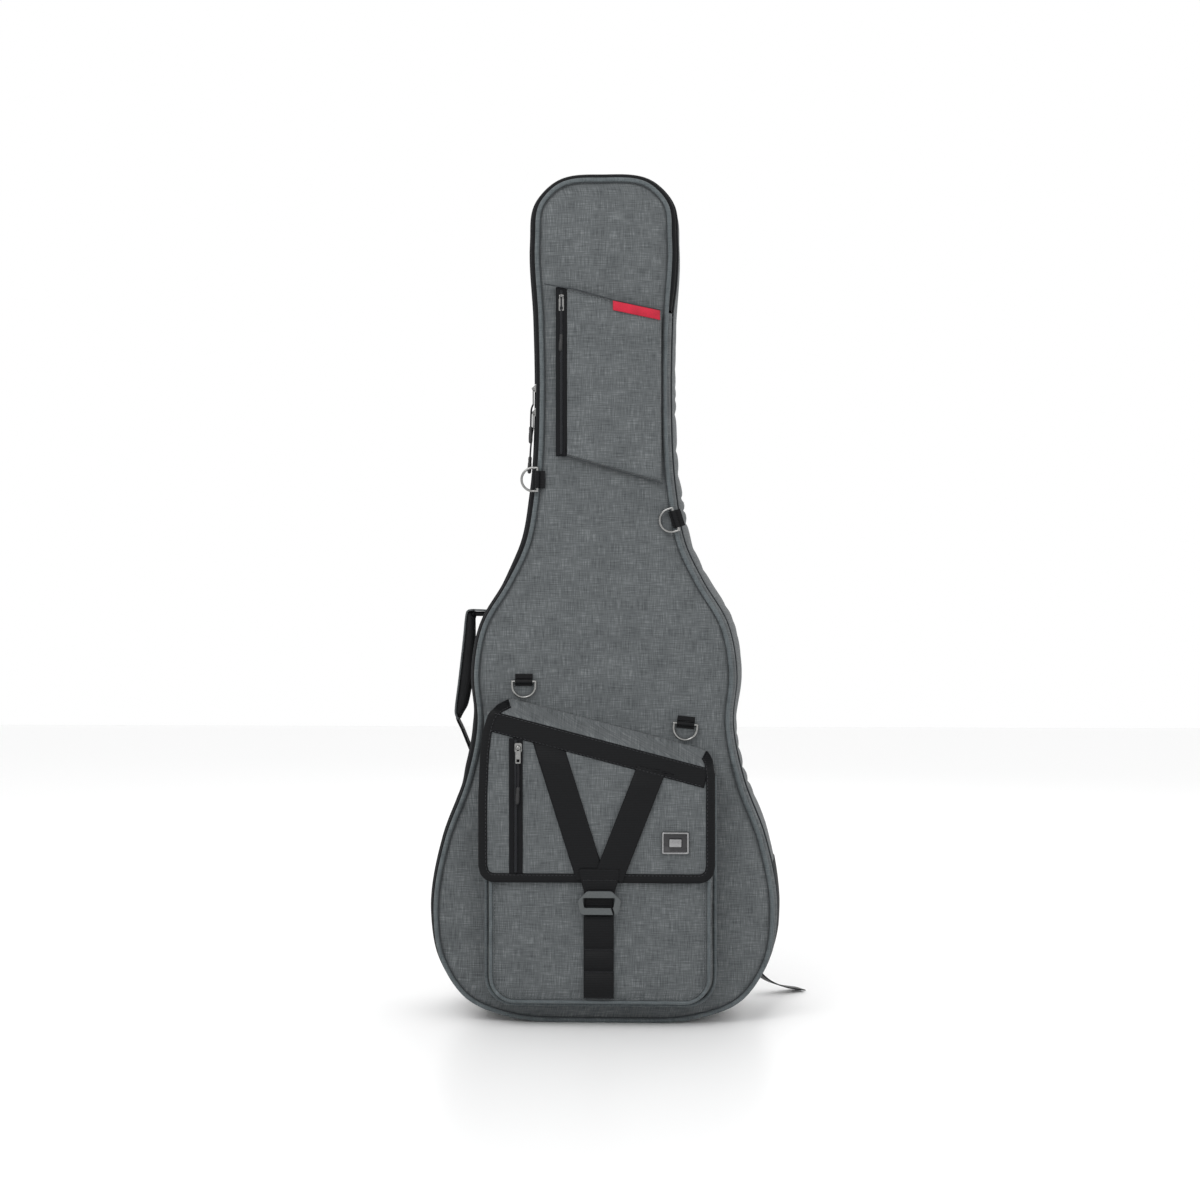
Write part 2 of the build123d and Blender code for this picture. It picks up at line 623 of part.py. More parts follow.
make_body()
make_interior_pads()
make_back_pads()
make_lid()
make_neck_pocket()
make_pocket()
make_daisy_chain()
make_d_rings()
make_flap()
make_hook()
for prefix, place, turn, cord in ZIP_PULLS:
    make_zip_pull(prefix, place, turn, cord)
make_side_handle()
make_rear_handle()
make_straps()
make_tails()
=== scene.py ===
import math

import bmesh
import bpy
import numpy as np
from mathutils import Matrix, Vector, noise


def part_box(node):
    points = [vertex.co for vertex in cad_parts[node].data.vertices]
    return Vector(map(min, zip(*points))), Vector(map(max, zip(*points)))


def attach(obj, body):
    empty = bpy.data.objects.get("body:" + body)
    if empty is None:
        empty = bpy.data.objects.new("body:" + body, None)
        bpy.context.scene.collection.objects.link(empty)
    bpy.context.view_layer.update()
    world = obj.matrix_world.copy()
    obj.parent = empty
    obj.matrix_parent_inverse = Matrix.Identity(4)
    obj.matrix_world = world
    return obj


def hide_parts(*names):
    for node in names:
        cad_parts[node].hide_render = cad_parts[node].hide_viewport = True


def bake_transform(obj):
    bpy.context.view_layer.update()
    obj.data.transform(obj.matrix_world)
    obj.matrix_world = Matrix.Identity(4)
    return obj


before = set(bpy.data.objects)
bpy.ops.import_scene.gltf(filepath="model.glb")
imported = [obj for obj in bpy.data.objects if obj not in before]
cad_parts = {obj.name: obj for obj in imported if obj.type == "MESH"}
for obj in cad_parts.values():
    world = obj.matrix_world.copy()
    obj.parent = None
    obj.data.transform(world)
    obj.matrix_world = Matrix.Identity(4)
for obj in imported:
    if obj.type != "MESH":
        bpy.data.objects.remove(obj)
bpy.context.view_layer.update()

# Metres throughout. The right half of the bag's outline from the base to the head: (x, z).
HALF_OUTLINE = [
    (0.060, 0), (0.120, 0.005), (0.182, 0.030), (0.217, 0.083), (0.2255, 0.145), (0.210, 0.241),
    (0.181, 0.320), (0.1667, 0.395), (0.1715, 0.462), (0.160, 0.525), (0.128, 0.580),
    (0.104, 0.630), (0.091, 0.700), (0.0843, 0.830), (0.086, 0.930), (0.0905, 1.035),
    (0.085, 1.082), (0.062, 1.107), (0, 1.116),
]
PANEL_Y = -0.083
LID_BACK_Y = -0.0612
BODY_FRONT_Y = -0.0606
BACK_Y = 0.080
HEAD_BACK_Y = 0.036
BEND_Z = 0.520
TOP_Z = 1.200
ZIP_END_RIGHT_Z = 0.938
ZIP_END_LEFT_Z = 0.017
BASE_COVER_Z = 0.206
SWELL, SWELL_RISE = 0.004, 0.150    # how far the padding swells the outline, full at this height
FOLD_Y, COIL_Y, WALL_Y = -0.0795, -0.0609, -0.0455    # front of the lid's edge, coil, front of the wall
WALL_RISE, FLOOR_GAP = 0.12, 0.0006
PIPING_RADIUS = 0.0031
COIL_SEGMENTS = 8
END_SHARE = 0.06    # share of a panel's rows that are eased at each end
WEB = 0.025    # width of the standard webbing
SEAM_SLOPE = math.radians(14.7)
SEAM_X, SEAM_Z = 0.004, 0.3954
POCKET_FRONT_Y = -0.116
FLAP_Y = -0.1214


# ---------------------------------------------------------------- outline
def smooth_half(steps=8):
    """Right half outline, eased between the listed points."""
    points = [np.array(p, float) for p in HALF_OUTLINE]
    slopes = [np.array((1.0, 0.0))]
    for before, here, after in zip(points, points[1:], points[2:]):
        a, b = here - before, after - here
        la, lb = np.linalg.norm(a), np.linalg.norm(b)
        slopes.append((a / la * lb + b / lb * la) / (la + lb))
    slopes.append(np.array((-1.0, 0.0)))
    smooth = []
    for i in range(len(points) - 1):
        p, q = points[i], points[i + 1]
        span = np.linalg.norm(q - p)
        for step in range(steps):
            t = step / steps
            along = slopes[i] * (t**3 - 2 * t**2 + t) + slopes[i + 1] * (t**3 - t**2)
            smooth.append(p * (2 * t**3 - 3 * t**2 + 1) + q * (3 * t**2 - 2 * t**3) + along * span)
    smooth.append(points[-1])
    return np.array(smooth)


def run_length(pts):
    """Distance along a polyline at each of its points."""
    return np.concatenate([[0], np.cumsum(np.linalg.norm(np.diff(pts, axis=0), axis=1))])


def point_at(pts, total, s):
    return np.array([np.interp(s, total, pts[:, k]) for k in range(pts.shape[1])])


def resample(points, spacing, closed=False):
    """Evenly spaced points along a polyline."""
    pts = np.array(points, float)
    if closed:
        pts = np.vstack([pts, pts[:1]])
    total = run_length(pts)
    count = max(2, int(round(total[-1] / spacing)))
    at = np.linspace(0, total[-1], count + (0 if closed else 1), endpoint=not closed)
    return np.array([point_at(pts, total, s) for s in at])


def normals_2d(points, closed):
    """Outward normals of an anticlockwise line in (x, z)."""
    if closed:
        ahead = np.roll(points, -1, axis=0) - np.roll(points, 1, axis=0)
    else:
        ahead = np.gradient(points, axis=0)
    ahead /= np.linalg.norm(ahead, axis=1)[:, None]
    return np.stack([ahead[:, 1], -ahead[:, 0]], axis=1)


RIGHT = smooth_half()
LOOP = resample(np.vstack([RIGHT, (RIGHT[:-1] * (-1, 1))[::-1]]), 0.0036, closed=True)
LOOP_N = normals_2d(LOOP, True)


def swell_at(z):
    return SWELL * np.minimum(1, np.maximum(z, 0) / SWELL_RISE)


def back_y(z):
    slope = (BACK_Y - HEAD_BACK_Y) / (TOP_Z - BEND_Z)
    return BACK_Y - slope * max(0.0, z - BEND_Z)


def half_width(z):
    return float(np.interp(z, RIGHT[:, 1], RIGHT[:, 0]))


def edge_distance(x, z, polygon):
    """Distance from a point to a closed polygon's edge."""
    p = np.array((x, z))
    a = polygon
    b = np.roll(polygon, -1, axis=0)
    ab = b - a
    t = np.clip(((p - a) * ab).sum(1) / (ab * ab).sum(1), 0, 1)
    return float(np.min(np.linalg.norm(a + ab * t[:, None] - p, axis=1)))


def ease(t):
    t = min(1.0, max(0.0, t))
    return t * t * (3 - 2 * t)


# ---------------------------------------------------------------- materials
class Material:
    """A Principled material, with short calls for the nodes that feed it."""

    def __init__(self, name, roughness=0.8, sheen=0.0, metallic=0.0, specular=0.5):
        self.mat = bpy.data.materials.new(name)
        self.mat.use_nodes = True
        self.shader = self.mat.node_tree.nodes["Principled BSDF"]
        for socket, value in (("Roughness", roughness), ("Metallic", metallic), ("Sheen Weight", sheen),
                              ("Sheen Roughness", 0.5), ("Specular IOR Level", specular)):
            self.shader.inputs[socket].default_value = value

    def link(self, source, target):
        self.mat.node_tree.links.new(source, target)

    def add(self, kind, inputs, **settings):
        """A node whose inputs are each linked or given a value."""
        node = self.mat.node_tree.nodes.new("ShaderNode" + kind)
        for key, value in settings.items():
            setattr(node, key, value)
        for key, value in inputs.items():
            if isinstance(value, bpy.types.NodeSocket):
                self.link(value, node.inputs[key])
            else:
                node.inputs[key].default_value = value
        return node

    def math(self, operation, a, b):
        return self.add("Math", {0: a, 1: b}, operation=operation).outputs[0]

    def flat(self, roof=False):
        """Object position laid flat for the weave: (x + y, z) on walls, (x, z - y) on a roof."""
        axes = self.add("SeparateXYZ", {0: self.add("TexCoord", {}).outputs["Object"]}).outputs
        if roof:
            across, up = axes["X"], self.math("SUBTRACT", axes["Z"], axes["Y"])
        else:
            across, up = self.math("ADD", axes["X"], axes["Y"]), axes["Z"]
        return self.add("CombineXYZ", {"X": across, "Y": up}).outputs[0]

    def noise(self, coords, scale, detail=2.0, offset=0.0):
        where = self.add("Mapping", {"Scale": scale, "Location": (offset, offset * 0.7, 0), "Vector": coords})
        return self.add("TexNoise", {"Scale": 1.0, "Detail": detail, "Vector": where.outputs[0]}).outputs["Fac"]

    def paint(self, value, stops):
        """Base colour from a ramp over value."""
        node = self.add("ValToRGB", {0: value})
        elements = node.color_ramp.elements
        for element, (at, colour) in zip(elements, (stops[0], stops[-1])):
            element.position, element.color = at, (*colour, 1)
        for at, colour in stops[1:-1]:
            elements.new(at).color = (*colour, 1)
        self.link(node.outputs[0], self.shader.inputs["Base Color"])

    def bump(self, height, strength, distance):
        node = self.add("Bump", {"Strength": strength, "Distance": distance, "Height": height})
        self.link(node.outputs[0], self.shader.inputs["Normal"])


def shade(colour, factor):
    return tuple(min(1, c * factor) for c in colour)


def heather_fabric(name, dark, mid, light, roof=False):
    """Woven melange: pale and dark slubs along both thread directions over a fine weave."""
    m = Material(name, roughness=0.86, sheen=0.10, specular=0.22)
    flat = m.flat(roof)
    threads = m.math("ADD", m.noise(flat, (50, 900, 1), 3.0), m.noise(flat, (850, 55, 1), 3.0, 3.1))
    blotch = m.noise(flat, (28, 28, 1), 2.0, 7.7)
    total = m.math("ADD", threads, m.math("MULTIPLY", blotch, 0.35))
    m.paint(m.math("MULTIPLY", total, 0.425), [(0.39, dark), (0.48, mid), (0.52, mid), (0.62, light)])
    fine = m.add("TexChecker", {"Scale": 1500, "Vector": flat}).outputs["Fac"]
    m.bump(m.math("ADD", threads, m.math("MULTIPLY", fine, 0.3)), 0.35, 0.0006)
    return m.mat


def webbing(name, colour, pitch=900, roughness=0.5, sheen=0.05):
    """Flat woven strap: ribs across its length with a fine broken twill."""
    m = Material(name, roughness=roughness, sheen=sheen, specular=0.14)
    flat = m.flat()
    ribs = m.add("TexWave", {"Scale": pitch / 6.28, "Distortion": 1.2, "Detail": 1.0, "Vector": flat},
                 wave_type="BANDS", bands_direction="Y").outputs["Fac"]
    total = m.math("ADD", ribs, m.noise(flat, (900, 160, 1), 2.0, 1.3))
    m.paint(m.math("MULTIPLY", total, 0.5), [(0.2, shade(colour, 0.65)), (0.85, shade(colour, 1.7))])
    m.bump(total, 0.45, 0.0004)
    return m.mat


def plain_cloth(name, colour, scale=1400, roughness=0.85, strength=0.4, sheen=0.1, holes=False):
    """Close plain weave, or a mesh with holes."""
    m = Material(name, roughness=roughness, sheen=sheen, specular=0.25)
    flat = m.flat()
    kind, output = ("TexVoronoi", "Distance") if holes else ("TexChecker", "Fac")
    weave = m.add(kind, {"Scale": scale, "Vector": flat}).outputs[output]
    mixed = m.math("ADD", m.math("MULTIPLY", weave, 0.4), m.noise(flat, (60, 60, 1), 3.0, 2.0))
    m.paint(mixed, [(0.3, shade(colour, 0.7)), (0.9, shade(colour, 1.5))])
    m.bump(weave, strength, 0.0005)
    return m.mat


def metal(name, colour, roughness=0.22, metallic=1.0):
    """Plated or coated metal with faint scuffs in its gloss."""
    m = Material(name, roughness=roughness, metallic=metallic)
    where = m.add("TexCoord", {}).outputs["Object"]
    scuff = m.add("TexNoise", {"Scale": 420, "Detail": 4.0, "Vector": where}).outputs["Fac"]
    gloss = m.add("MapRange", {"To Min": roughness * 0.7, "To Max": roughness * 1.5, "Value": scuff})
    m.link(gloss.outputs[0], m.shader.inputs["Roughness"])
    m.paint(scuff, [(0.3, shade(colour, 0.85)), (0.7, shade(colour, 1.1))])
    m.bump(scuff, 0.05, 0.0002)
    return m.mat


GREY = (0.055, 0.061, 0.064), (0.092, 0.100, 0.104), (0.160, 0.172, 0.177)
PIPING_GREY = (0.058, 0.068, 0.072), (0.090, 0.104, 0.110), (0.130, 0.148, 0.155)
M = {
    "grey": heather_fabric("heather_grey", *GREY),
    "roof": heather_fabric("heather_grey_flap", *GREY, roof=True),
    "piping": heather_fabric("piping_grey", *PIPING_GREY),
    "black": plain_cloth("black_polyester", (0.0075, 0.0080, 0.0088), sheen=0.03),
    "mesh": plain_cloth("black_air_mesh", (0.0130, 0.0135, 0.0150), 420, strength=0.8, sheen=0.04, holes=True),
    "web": webbing("black_webbing", (0.0038, 0.0041, 0.0048), sheen=0.0),
    "web_shiny": webbing("strap_webbing", (0.0040, 0.0043, 0.0050), roughness=0.45, sheen=0.0),
    "tape": webbing("zip_tape", (0.0042, 0.0046, 0.0055), pitch=1500, roughness=0.65, sheen=0.0),
    "coil": webbing("zip_coil", (0.009, 0.010, 0.012), pitch=2400, roughness=0.35),
    "lining": plain_cloth("plush_lining", (0.035, 0.036, 0.040), scale=900, roughness=0.95, sheen=0.08),
    "label": plain_cloth("red_label", (0.36, 0.008, 0.026), scale=1600, roughness=0.6, strength=0.2),
    "nickel": metal("nickel", (0.27, 0.27, 0.265), 0.20),
    "gunmetal": metal("gunmetal", (0.30, 0.30, 0.305), 0.16),
    "recess": metal("badge_recess", (0.030, 0.030, 0.032), 0.20, 0.3),
    "painted": metal("coated_grey", (0.070, 0.078, 0.080), 0.45, 0.0),
    "plastic": metal("black_plastic", (0.012, 0.012, 0.013), 0.4, 0.0),
    "cord": webbing("braided_cord", (0.013, 0.013, 0.015), pitch=2600, roughness=0.7),
    "grip": metal("moulded_grip", (0.012, 0.012, 0.013), 0.5, 0.0),
    "thread": plain_cloth("thread", (0.030, 0.034, 0.037), scale=2500),
    "thread_black": plain_cloth("black_thread", (0.022, 0.023, 0.026), scale=2500),
}


# ---------------------------------------------------------------- mesh helpers
def new_object(name, data):
    obj = bpy.data.objects.new(name, data)
    bpy.context.scene.collection.objects.link(obj)
    return obj


def make_object(name, verts, faces, material):
    """Smooth mesh with doubles merged and normals outwards."""
    mesh = bpy.data.meshes.new(name)
    mesh.from_pydata([tuple(map(float, v)) for v in verts], [], faces)
    mesh.validate()
    bm = bmesh.new()
    bm.from_mesh(mesh)
    bmesh.ops.remove_doubles(bm, verts=bm.verts, dist=1e-6)
    bmesh.ops.recalc_face_normals(bm, faces=bm.faces)
    bm.to_mesh(mesh)
    bm.free()
    mesh.materials.append(M[material])
    mesh.polygons.foreach_set("use_smooth", [True] * len(mesh.polygons))
    return new_object(name, mesh)


def grid_faces(rows, cols, close_cols=False, close_rows=False):
    faces = []
    for r in range(rows if close_rows else rows - 1):
        for c in range(cols if close_cols else cols - 1):
            r1, c1 = (r + 1) % rows, (c + 1) % cols
            faces.append((r * cols + c, r * cols + c1, r1 * cols + c1, r1 * cols + c))
    return faces


def surface(rows, cols, point):
    """Grid of point(t, u), with t over the rows and u over the columns, both 0..1."""
    return [[point(r / rows, c / cols) for c in range(cols + 1)] for r in range(rows + 1)]


def sheet_object(name, grid, material, thickness, face=0):
    """Closed shell from a grid of points: its face towards -Y (1) or +Y (-1), or its middle (0)."""
    pts = np.array(grid, float)
    rows, cols = pts.shape[:2]
    normal = np.cross(np.gradient(pts, axis=0), np.gradient(pts, axis=1))
    size = np.linalg.norm(normal, axis=2)[:, :, None]
    normal = normal / np.where(size < 1e-12, 1, size)
    if face and normal[:, :, 1].sum() * face > 0:
        normal = -normal
    outer = pts + normal * (thickness / 2 if face == 0 else 0)
    inner = outer - normal * thickness
    count = rows * cols
    verts = np.vstack([outer.reshape(-1, 3), inner.reshape(-1, 3)])
    front = grid_faces(rows, cols)
    faces = front + [tuple(count + v for v in reversed(f)) for f in front]
    rim = list(range(cols)) + [r * cols + cols - 1 for r in range(1, rows)]
    rim += [(rows - 1) * cols + c for c in reversed(range(cols - 1))]
    rim += [r * cols for r in reversed(range(1, rows - 1))]
    faces += [(a, b, count + b, count + a) for a, b in zip(rim, rim[1:] + rim[:1])]
    return make_object(name, verts, faces, material)


def capped_faces(rings, segments, base=0):
    """Faces of a tube of rings with both ends closed, from vertex base on."""
    faces = grid_faces(rings, segments, close_cols=True)
    faces += [range(segments), reversed(range((rings - 1) * segments, rings * segments))]
    return [tuple(base + v for v in face) for face in faces]


def ring_object(name, rings, material):
    """Solid from rings of points."""
    verts = [p for ring in rings for p in ring]
    return make_object(name, verts, capped_faces(len(rings), len(rings[0])), material)


def around(segments, px=1.0, py=1.0):
    """Cosine and sine round a circle, which powers below 1 square off."""
    angles = [2 * math.pi * k / segments for k in range(segments)]
    return [(math.copysign(abs(math.cos(a)) ** px, math.cos(a)),
             math.copysign(abs(math.sin(a)) ** py, math.sin(a))) for a in angles]


def tube_object(name, points, radius, material, closed=False, segments=10, flat=1.0):
    """Round or oval tube along points."""
    pts = np.array(points, float)
    ahead = np.roll(pts, -1, axis=0) - np.roll(pts, 1, axis=0) if closed else np.gradient(pts, axis=0)
    ahead /= np.linalg.norm(ahead, axis=1)[:, None]
    side = np.cross(ahead[0], (0, 1, 0))
    if np.linalg.norm(side) < 1e-3:
        side = np.cross(ahead[0], (1, 0, 0))
    rings = []
    for p, t in zip(pts, ahead):
        side = side - t * side.dot(t)
        side /= np.linalg.norm(side)
        up = np.cross(t, side)
        rings.append([p + side * c * radius + up * s * radius * flat for c, s in around(segments)])
    if not closed:
        return ring_object(name, rings, material)
    faces = grid_faces(len(rings), segments, close_cols=True, close_rows=True)
    return make_object(name, [v for ring in rings for v in ring], faces, material)


def join(objects, name):
    """One piece from several meshes that share a body."""
    for o in bpy.context.selected_objects:
        o.select_set(False)
    for o in objects:
        o.select_set(True)
    bpy.context.view_layer.objects.active = objects[0]
    bpy.ops.object.join()
    objects[0].name = name
    return objects[0]


def dress(mesh, material):
    mesh.materials.clear()
    mesh.materials.append(M[material])


def apply_modifiers(obj):
    deps = bpy.context.evaluated_depsgraph_get()
    mesh = bpy.data.meshes.new_from_object(obj.evaluated_get(deps))
    obj.modifiers.clear()
    obj.data = mesh


def bevelled_copy(node, name, material, width=0.0006, segments=3):
    """A CAD node's mesh with its sharp edges eased."""
    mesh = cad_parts[node].data.copy()
    dress(mesh, material)
    bm = bmesh.new()
    bm.from_mesh(mesh)
    bmesh.ops.remove_doubles(bm, verts=bm.verts, dist=1e-6)
    bmesh.ops.dissolve_limit(bm, angle_limit=math.radians(1.5), verts=bm.verts, edges=bm.edges)
    bm.to_mesh(mesh)
    bm.free()
    obj = new_object(name, mesh)
    bevel = obj.modifiers.new("ease", "BEVEL")
    bevel.width = width
    bevel.segments = segments
    bevel.limit_method = "ANGLE"
    bevel.angle_limit = math.radians(35)
    bevel.use_clamp_overlap = True
    apply_modifiers(obj)
    obj.data.polygons.foreach_set("use_smooth", [True] * len(obj.data.polygons))
    weighted = obj.modifiers.new("shade", "WEIGHTED_NORMAL")
    weighted.keep_sharp = True
    apply_modifiers(obj)
    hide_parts(node)
    return obj


def place(obj, body):
    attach(obj, body)
    return obj


STITCH, STITCH_GAP, THREAD_RADIUS = 0.0032, 0.0018, 0.00038


def stitch_line(name, points, material="thread"):
    """A run of stitches along a line of 3-D points."""
    pts = np.array(points, float)
    total = run_length(pts)
    verts, faces = [], []
    at = 0.0
    while at + STITCH < total[-1]:
        a, b = point_at(pts, total, at), point_at(pts, total, at + STITCH)
        ahead = (b - a) / (np.linalg.norm(b - a) + 1e-12)
        side = np.cross(ahead, (0, 1, 0))
        side = side / (np.linalg.norm(side) + 1e-12)
        up = np.cross(side, ahead)
        faces += capped_faces(4, 6, len(verts))
        for t, r in ((0, 0.3), (0.25, 1), (0.75, 1), (1, 0.3)):
            verts += [a * (1 - t) + b * t + (side * c + up * s) * THREAD_RADIUS * r for c, s in around(6)]
        at += STITCH + STITCH_GAP
    return make_object(name, verts, faces, material)


# ---------------------------------------------------------------- front lid
def inset_loop(inset, swell=0.0):
    """The whole outline, moved in by inset and out by the swell of the padding."""
    move = swell * np.minimum(1, np.maximum(LOOP[:, 1], 0) / SWELL_RISE) - inset
    return LOOP + LOOP_N * move[:, None]


def panel_grid(depth_of, inset, rows=230, cols=84, swollen=False):
    """Rows across the outline, eased at its two ends; depth_of(x, z, edge distance) gives y."""
    move = (swell_at(RIGHT[:, 1]) if swollen else 0) - inset
    right = resample(RIGHT + normals_2d(RIGHT, False) * np.reshape(move, (-1, 1)), 0.002)
    right[0, 0] = RIGHT[0, 0]
    polygon = np.vstack([right, (right * (-1, 1))[::-1]])
    z0, z1 = right[:, 1].min(), right[:, 1].max()
    order = np.argsort(right[:, 1])

    def eased(t):
        return z0 + (z1 - z0) * (0.5 - 0.5 * math.cos(math.pi * t))
    lo, hi = eased(END_SHARE), eased(1 - END_SHARE)
    grid = []
    for t in (r / rows for r in range(rows + 1)):
        z = eased(t)
        if END_SHARE <= t <= 1 - END_SHARE:
            z = lo + (hi - lo) * (t - END_SHARE) / (1 - 2 * END_SHARE)
        w = float(np.interp(z, right[order, 1], right[order, 0]))
        across = [-math.cos(math.pi * c / cols) * w for c in range(cols + 1)]
        grid.append([(x, depth_of(x, z, edge_distance(x, z, polygon)), z) for x in across])
    return grid


def front_depth(x, z, d):
    """Front panel: sunk at its seam, gently crowned, with soft dents in the padding."""
    rise = 0.0036 * ease(d / 0.018)
    dents = 0.0009 * noise.noise(Vector((x * 7, z * 5, 0.3)))
    return PANEL_Y + 0.0030 - rise - dents * ease(d / 0.03)


def make_front_panel():
    panel = sheet_object("front_panel_cloth", panel_grid(front_depth, 0.0052), "grey", 0.0022, 1)
    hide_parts("front_panel", "front_foam")
    place(panel, "front_lid")

    line = [(x, -0.0808, z) for x, z in resample(inset_loop(0.0032), 0.005, closed=True)]
    piping = tube_object("front_edge_piping", line, PIPING_RADIUS, "piping", closed=True, segments=12)
    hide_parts("front_piping")
    place(piping, "front_lid")
    groove = [(x, -0.0822, z) for x, z in resample(inset_loop(0.0068), 0.005, closed=True)]
    seam = tube_object("front_seam", groove, 0.0007, "thread", closed=True, segments=6)
    place(seam, "front_lid")

    def lining_depth(x, z, d):
        return LID_BACK_Y - 0.0035 - 0.0015 * (1 - ease(d / 0.02))
    inner = sheet_object("lid_lining", panel_grid(lining_depth, 0.0095, 90, 40), "lining", 0.002, -1)
    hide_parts("front_lining")
    place(inner, "front_lid")


def wall_strip(name, y_of, inset, keep, material, bulge=None, columns=6, thickness=0.0012):
    """Strip of side wall along the outline: y_of(z, v) for v in 0..1; keep(x, z) picks its runs."""
    loop = inset_loop(0, SWELL)
    n = len(loop)
    flags = [keep(x, z) for x, z in loop]
    start = next((i for i in range(n) if flags[i] and not flags[i - 1]), 0)
    runs, current = [], []
    for k in range(n + all(flags)):
        i = (start + k) % n
        if flags[i]:
            current.append(i)
        elif current:
            runs.append(current)
            current = []
    if current:
        runs.append(current)

    def point(i, v):
        (x, z), (nx, nz) = loop[i], LOOP_N[i]
        y = y_of(z, v)
        out = (bulge(x, y, z, v) if bulge else 0.0) * min(1.0, max(z, 0) / WALL_RISE) - inset
        return (x + nx * out, y, max(FLOOR_GAP, z + nz * out))
    parts = []
    for number, run in enumerate(runs):
        grid = [[point(i, c / columns) for c in range(columns + 1)] for i in run]
        parts.append(sheet_object(f"{name}_{number}", grid, material, thickness))
    return join(parts, name)


def on_zipper(x, z):
    return (x <= 0 and z >= ZIP_END_LEFT_Z) or (x > 0 and z >= ZIP_END_RIGHT_Z)


def strip_y(y0, y1):
    return lambda z, v: y0 + (y1 - y0) * v


def tape_swell(x, z):
    """The zipper tapes stand proud where the outline runs straight or turns outwards."""
    proud = ease((z - 0.57) / 0.05) + ease((z - 0.31) / 0.03) * ease((0.42 - z) / 0.03)
    return 0.0022 * proud * (1.0 if x < 0 else ease((z - 0.93) / 0.05))


def tuck(x, y, z, v):
    """The lid's edge strip turns in under its piping."""
    return -0.0058 * (1 - ease(v / 0.24)) + tape_swell(x, z) * ease(v / 0.24)


def notch(coil, axis, centre, depth):
    """Every second ring of a zipper's coil drawn in, so that its teeth show."""
    for index, vertex in enumerate(coil.data.vertices):
        if (index // COIL_SEGMENTS) % 2:
            vertex.co[axis] = centre + (vertex.co[axis] - centre) * (1 - depth)


def make_zipper():
    lid_tape = wall_strip("lid_zip_tape", strip_y(FOLD_Y, LID_BACK_Y - 0.0012), 0.0012, on_zipper, "tape", tuck)
    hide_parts("zipper_tape_lid")
    place(lid_tape, "front_lid")
    body_tape = wall_strip("body_zip_tape", strip_y(BODY_FRONT_Y + 0.0012, WALL_Y), 0.0012, on_zipper, "tape",
                           lambda x, y, z, v: tape_swell(x, z) * (1 - ease(v)))
    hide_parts("zipper_tape_body")
    place(body_tape, "bag_body")
    loop = inset_loop(-0.0003, SWELL)
    run = [i for i in range(len(loop)) if on_zipper(*loop[i])]
    start = next(i for i in run if (i - 1) % len(loop) not in run)
    line = []
    for i in ((start + k) % len(loop) for k in range(len(run))):
        x, z = loop[i] + LOOP_N[i] * tape_swell(*loop[i])
        line.append((x, COIL_Y, max(0.002, z)))
    coil = tube_object("zip_coil", resample(line, 0.0022), 0.0019, "coil", segments=COIL_SEGMENTS, flat=0.6)
    notch(coil, 1, COIL_Y, 0.18)
    place(coil, "bag_body")


def wrinkle(x, z):
    """Creases between soft lobes where the side wall turns at the waist and lower bout."""
    waist = math.exp(-((z - 0.70) / 0.15) ** 2) + 0.9 * math.exp(-((z - 0.335) / 0.05) ** 2)
    phase = z * math.pi / 0.029 + 1.3 * math.sin(z * 37) + 0.6 * math.sin(z * 83) + (2 if x > 0 else 0)
    depth = 0.65 + 0.7 * noise.noise(Vector((z * 31, x * 3, 4)))
    return min(1.0, waist) * depth * (1 - abs(math.sin(phase))) ** 1.3


HAND_ROOM = 0.0055    # hollow in the wall for the hand behind the side handle


def gusset_bulge(x, y, z, v):
    """Padded side wall: fuller between its seams, gathered at the inside curves, hollow by the handle."""
    waist = math.exp(-((z - 0.60) / 0.16) ** 2) if x > 0 else 0.0
    full = (0.0070 + 0.0052 * waist) * (1 - (2 * v - 1) ** 2) ** 0.6
    if x < 0:
        full -= HAND_ROOM * math.exp(-(y / 0.030) ** 2) * ease((z - 0.40) / 0.05) * ease((0.528 - z) / 0.02)
    folds = 0.0040 * wrinkle(x, z) * math.sin(math.pi * v) ** 0.5
    soft = 0.0016 * noise.noise(Vector((x * 9, y * 11, z * 9))) * math.sin(math.pi * v)
    return full - folds + soft


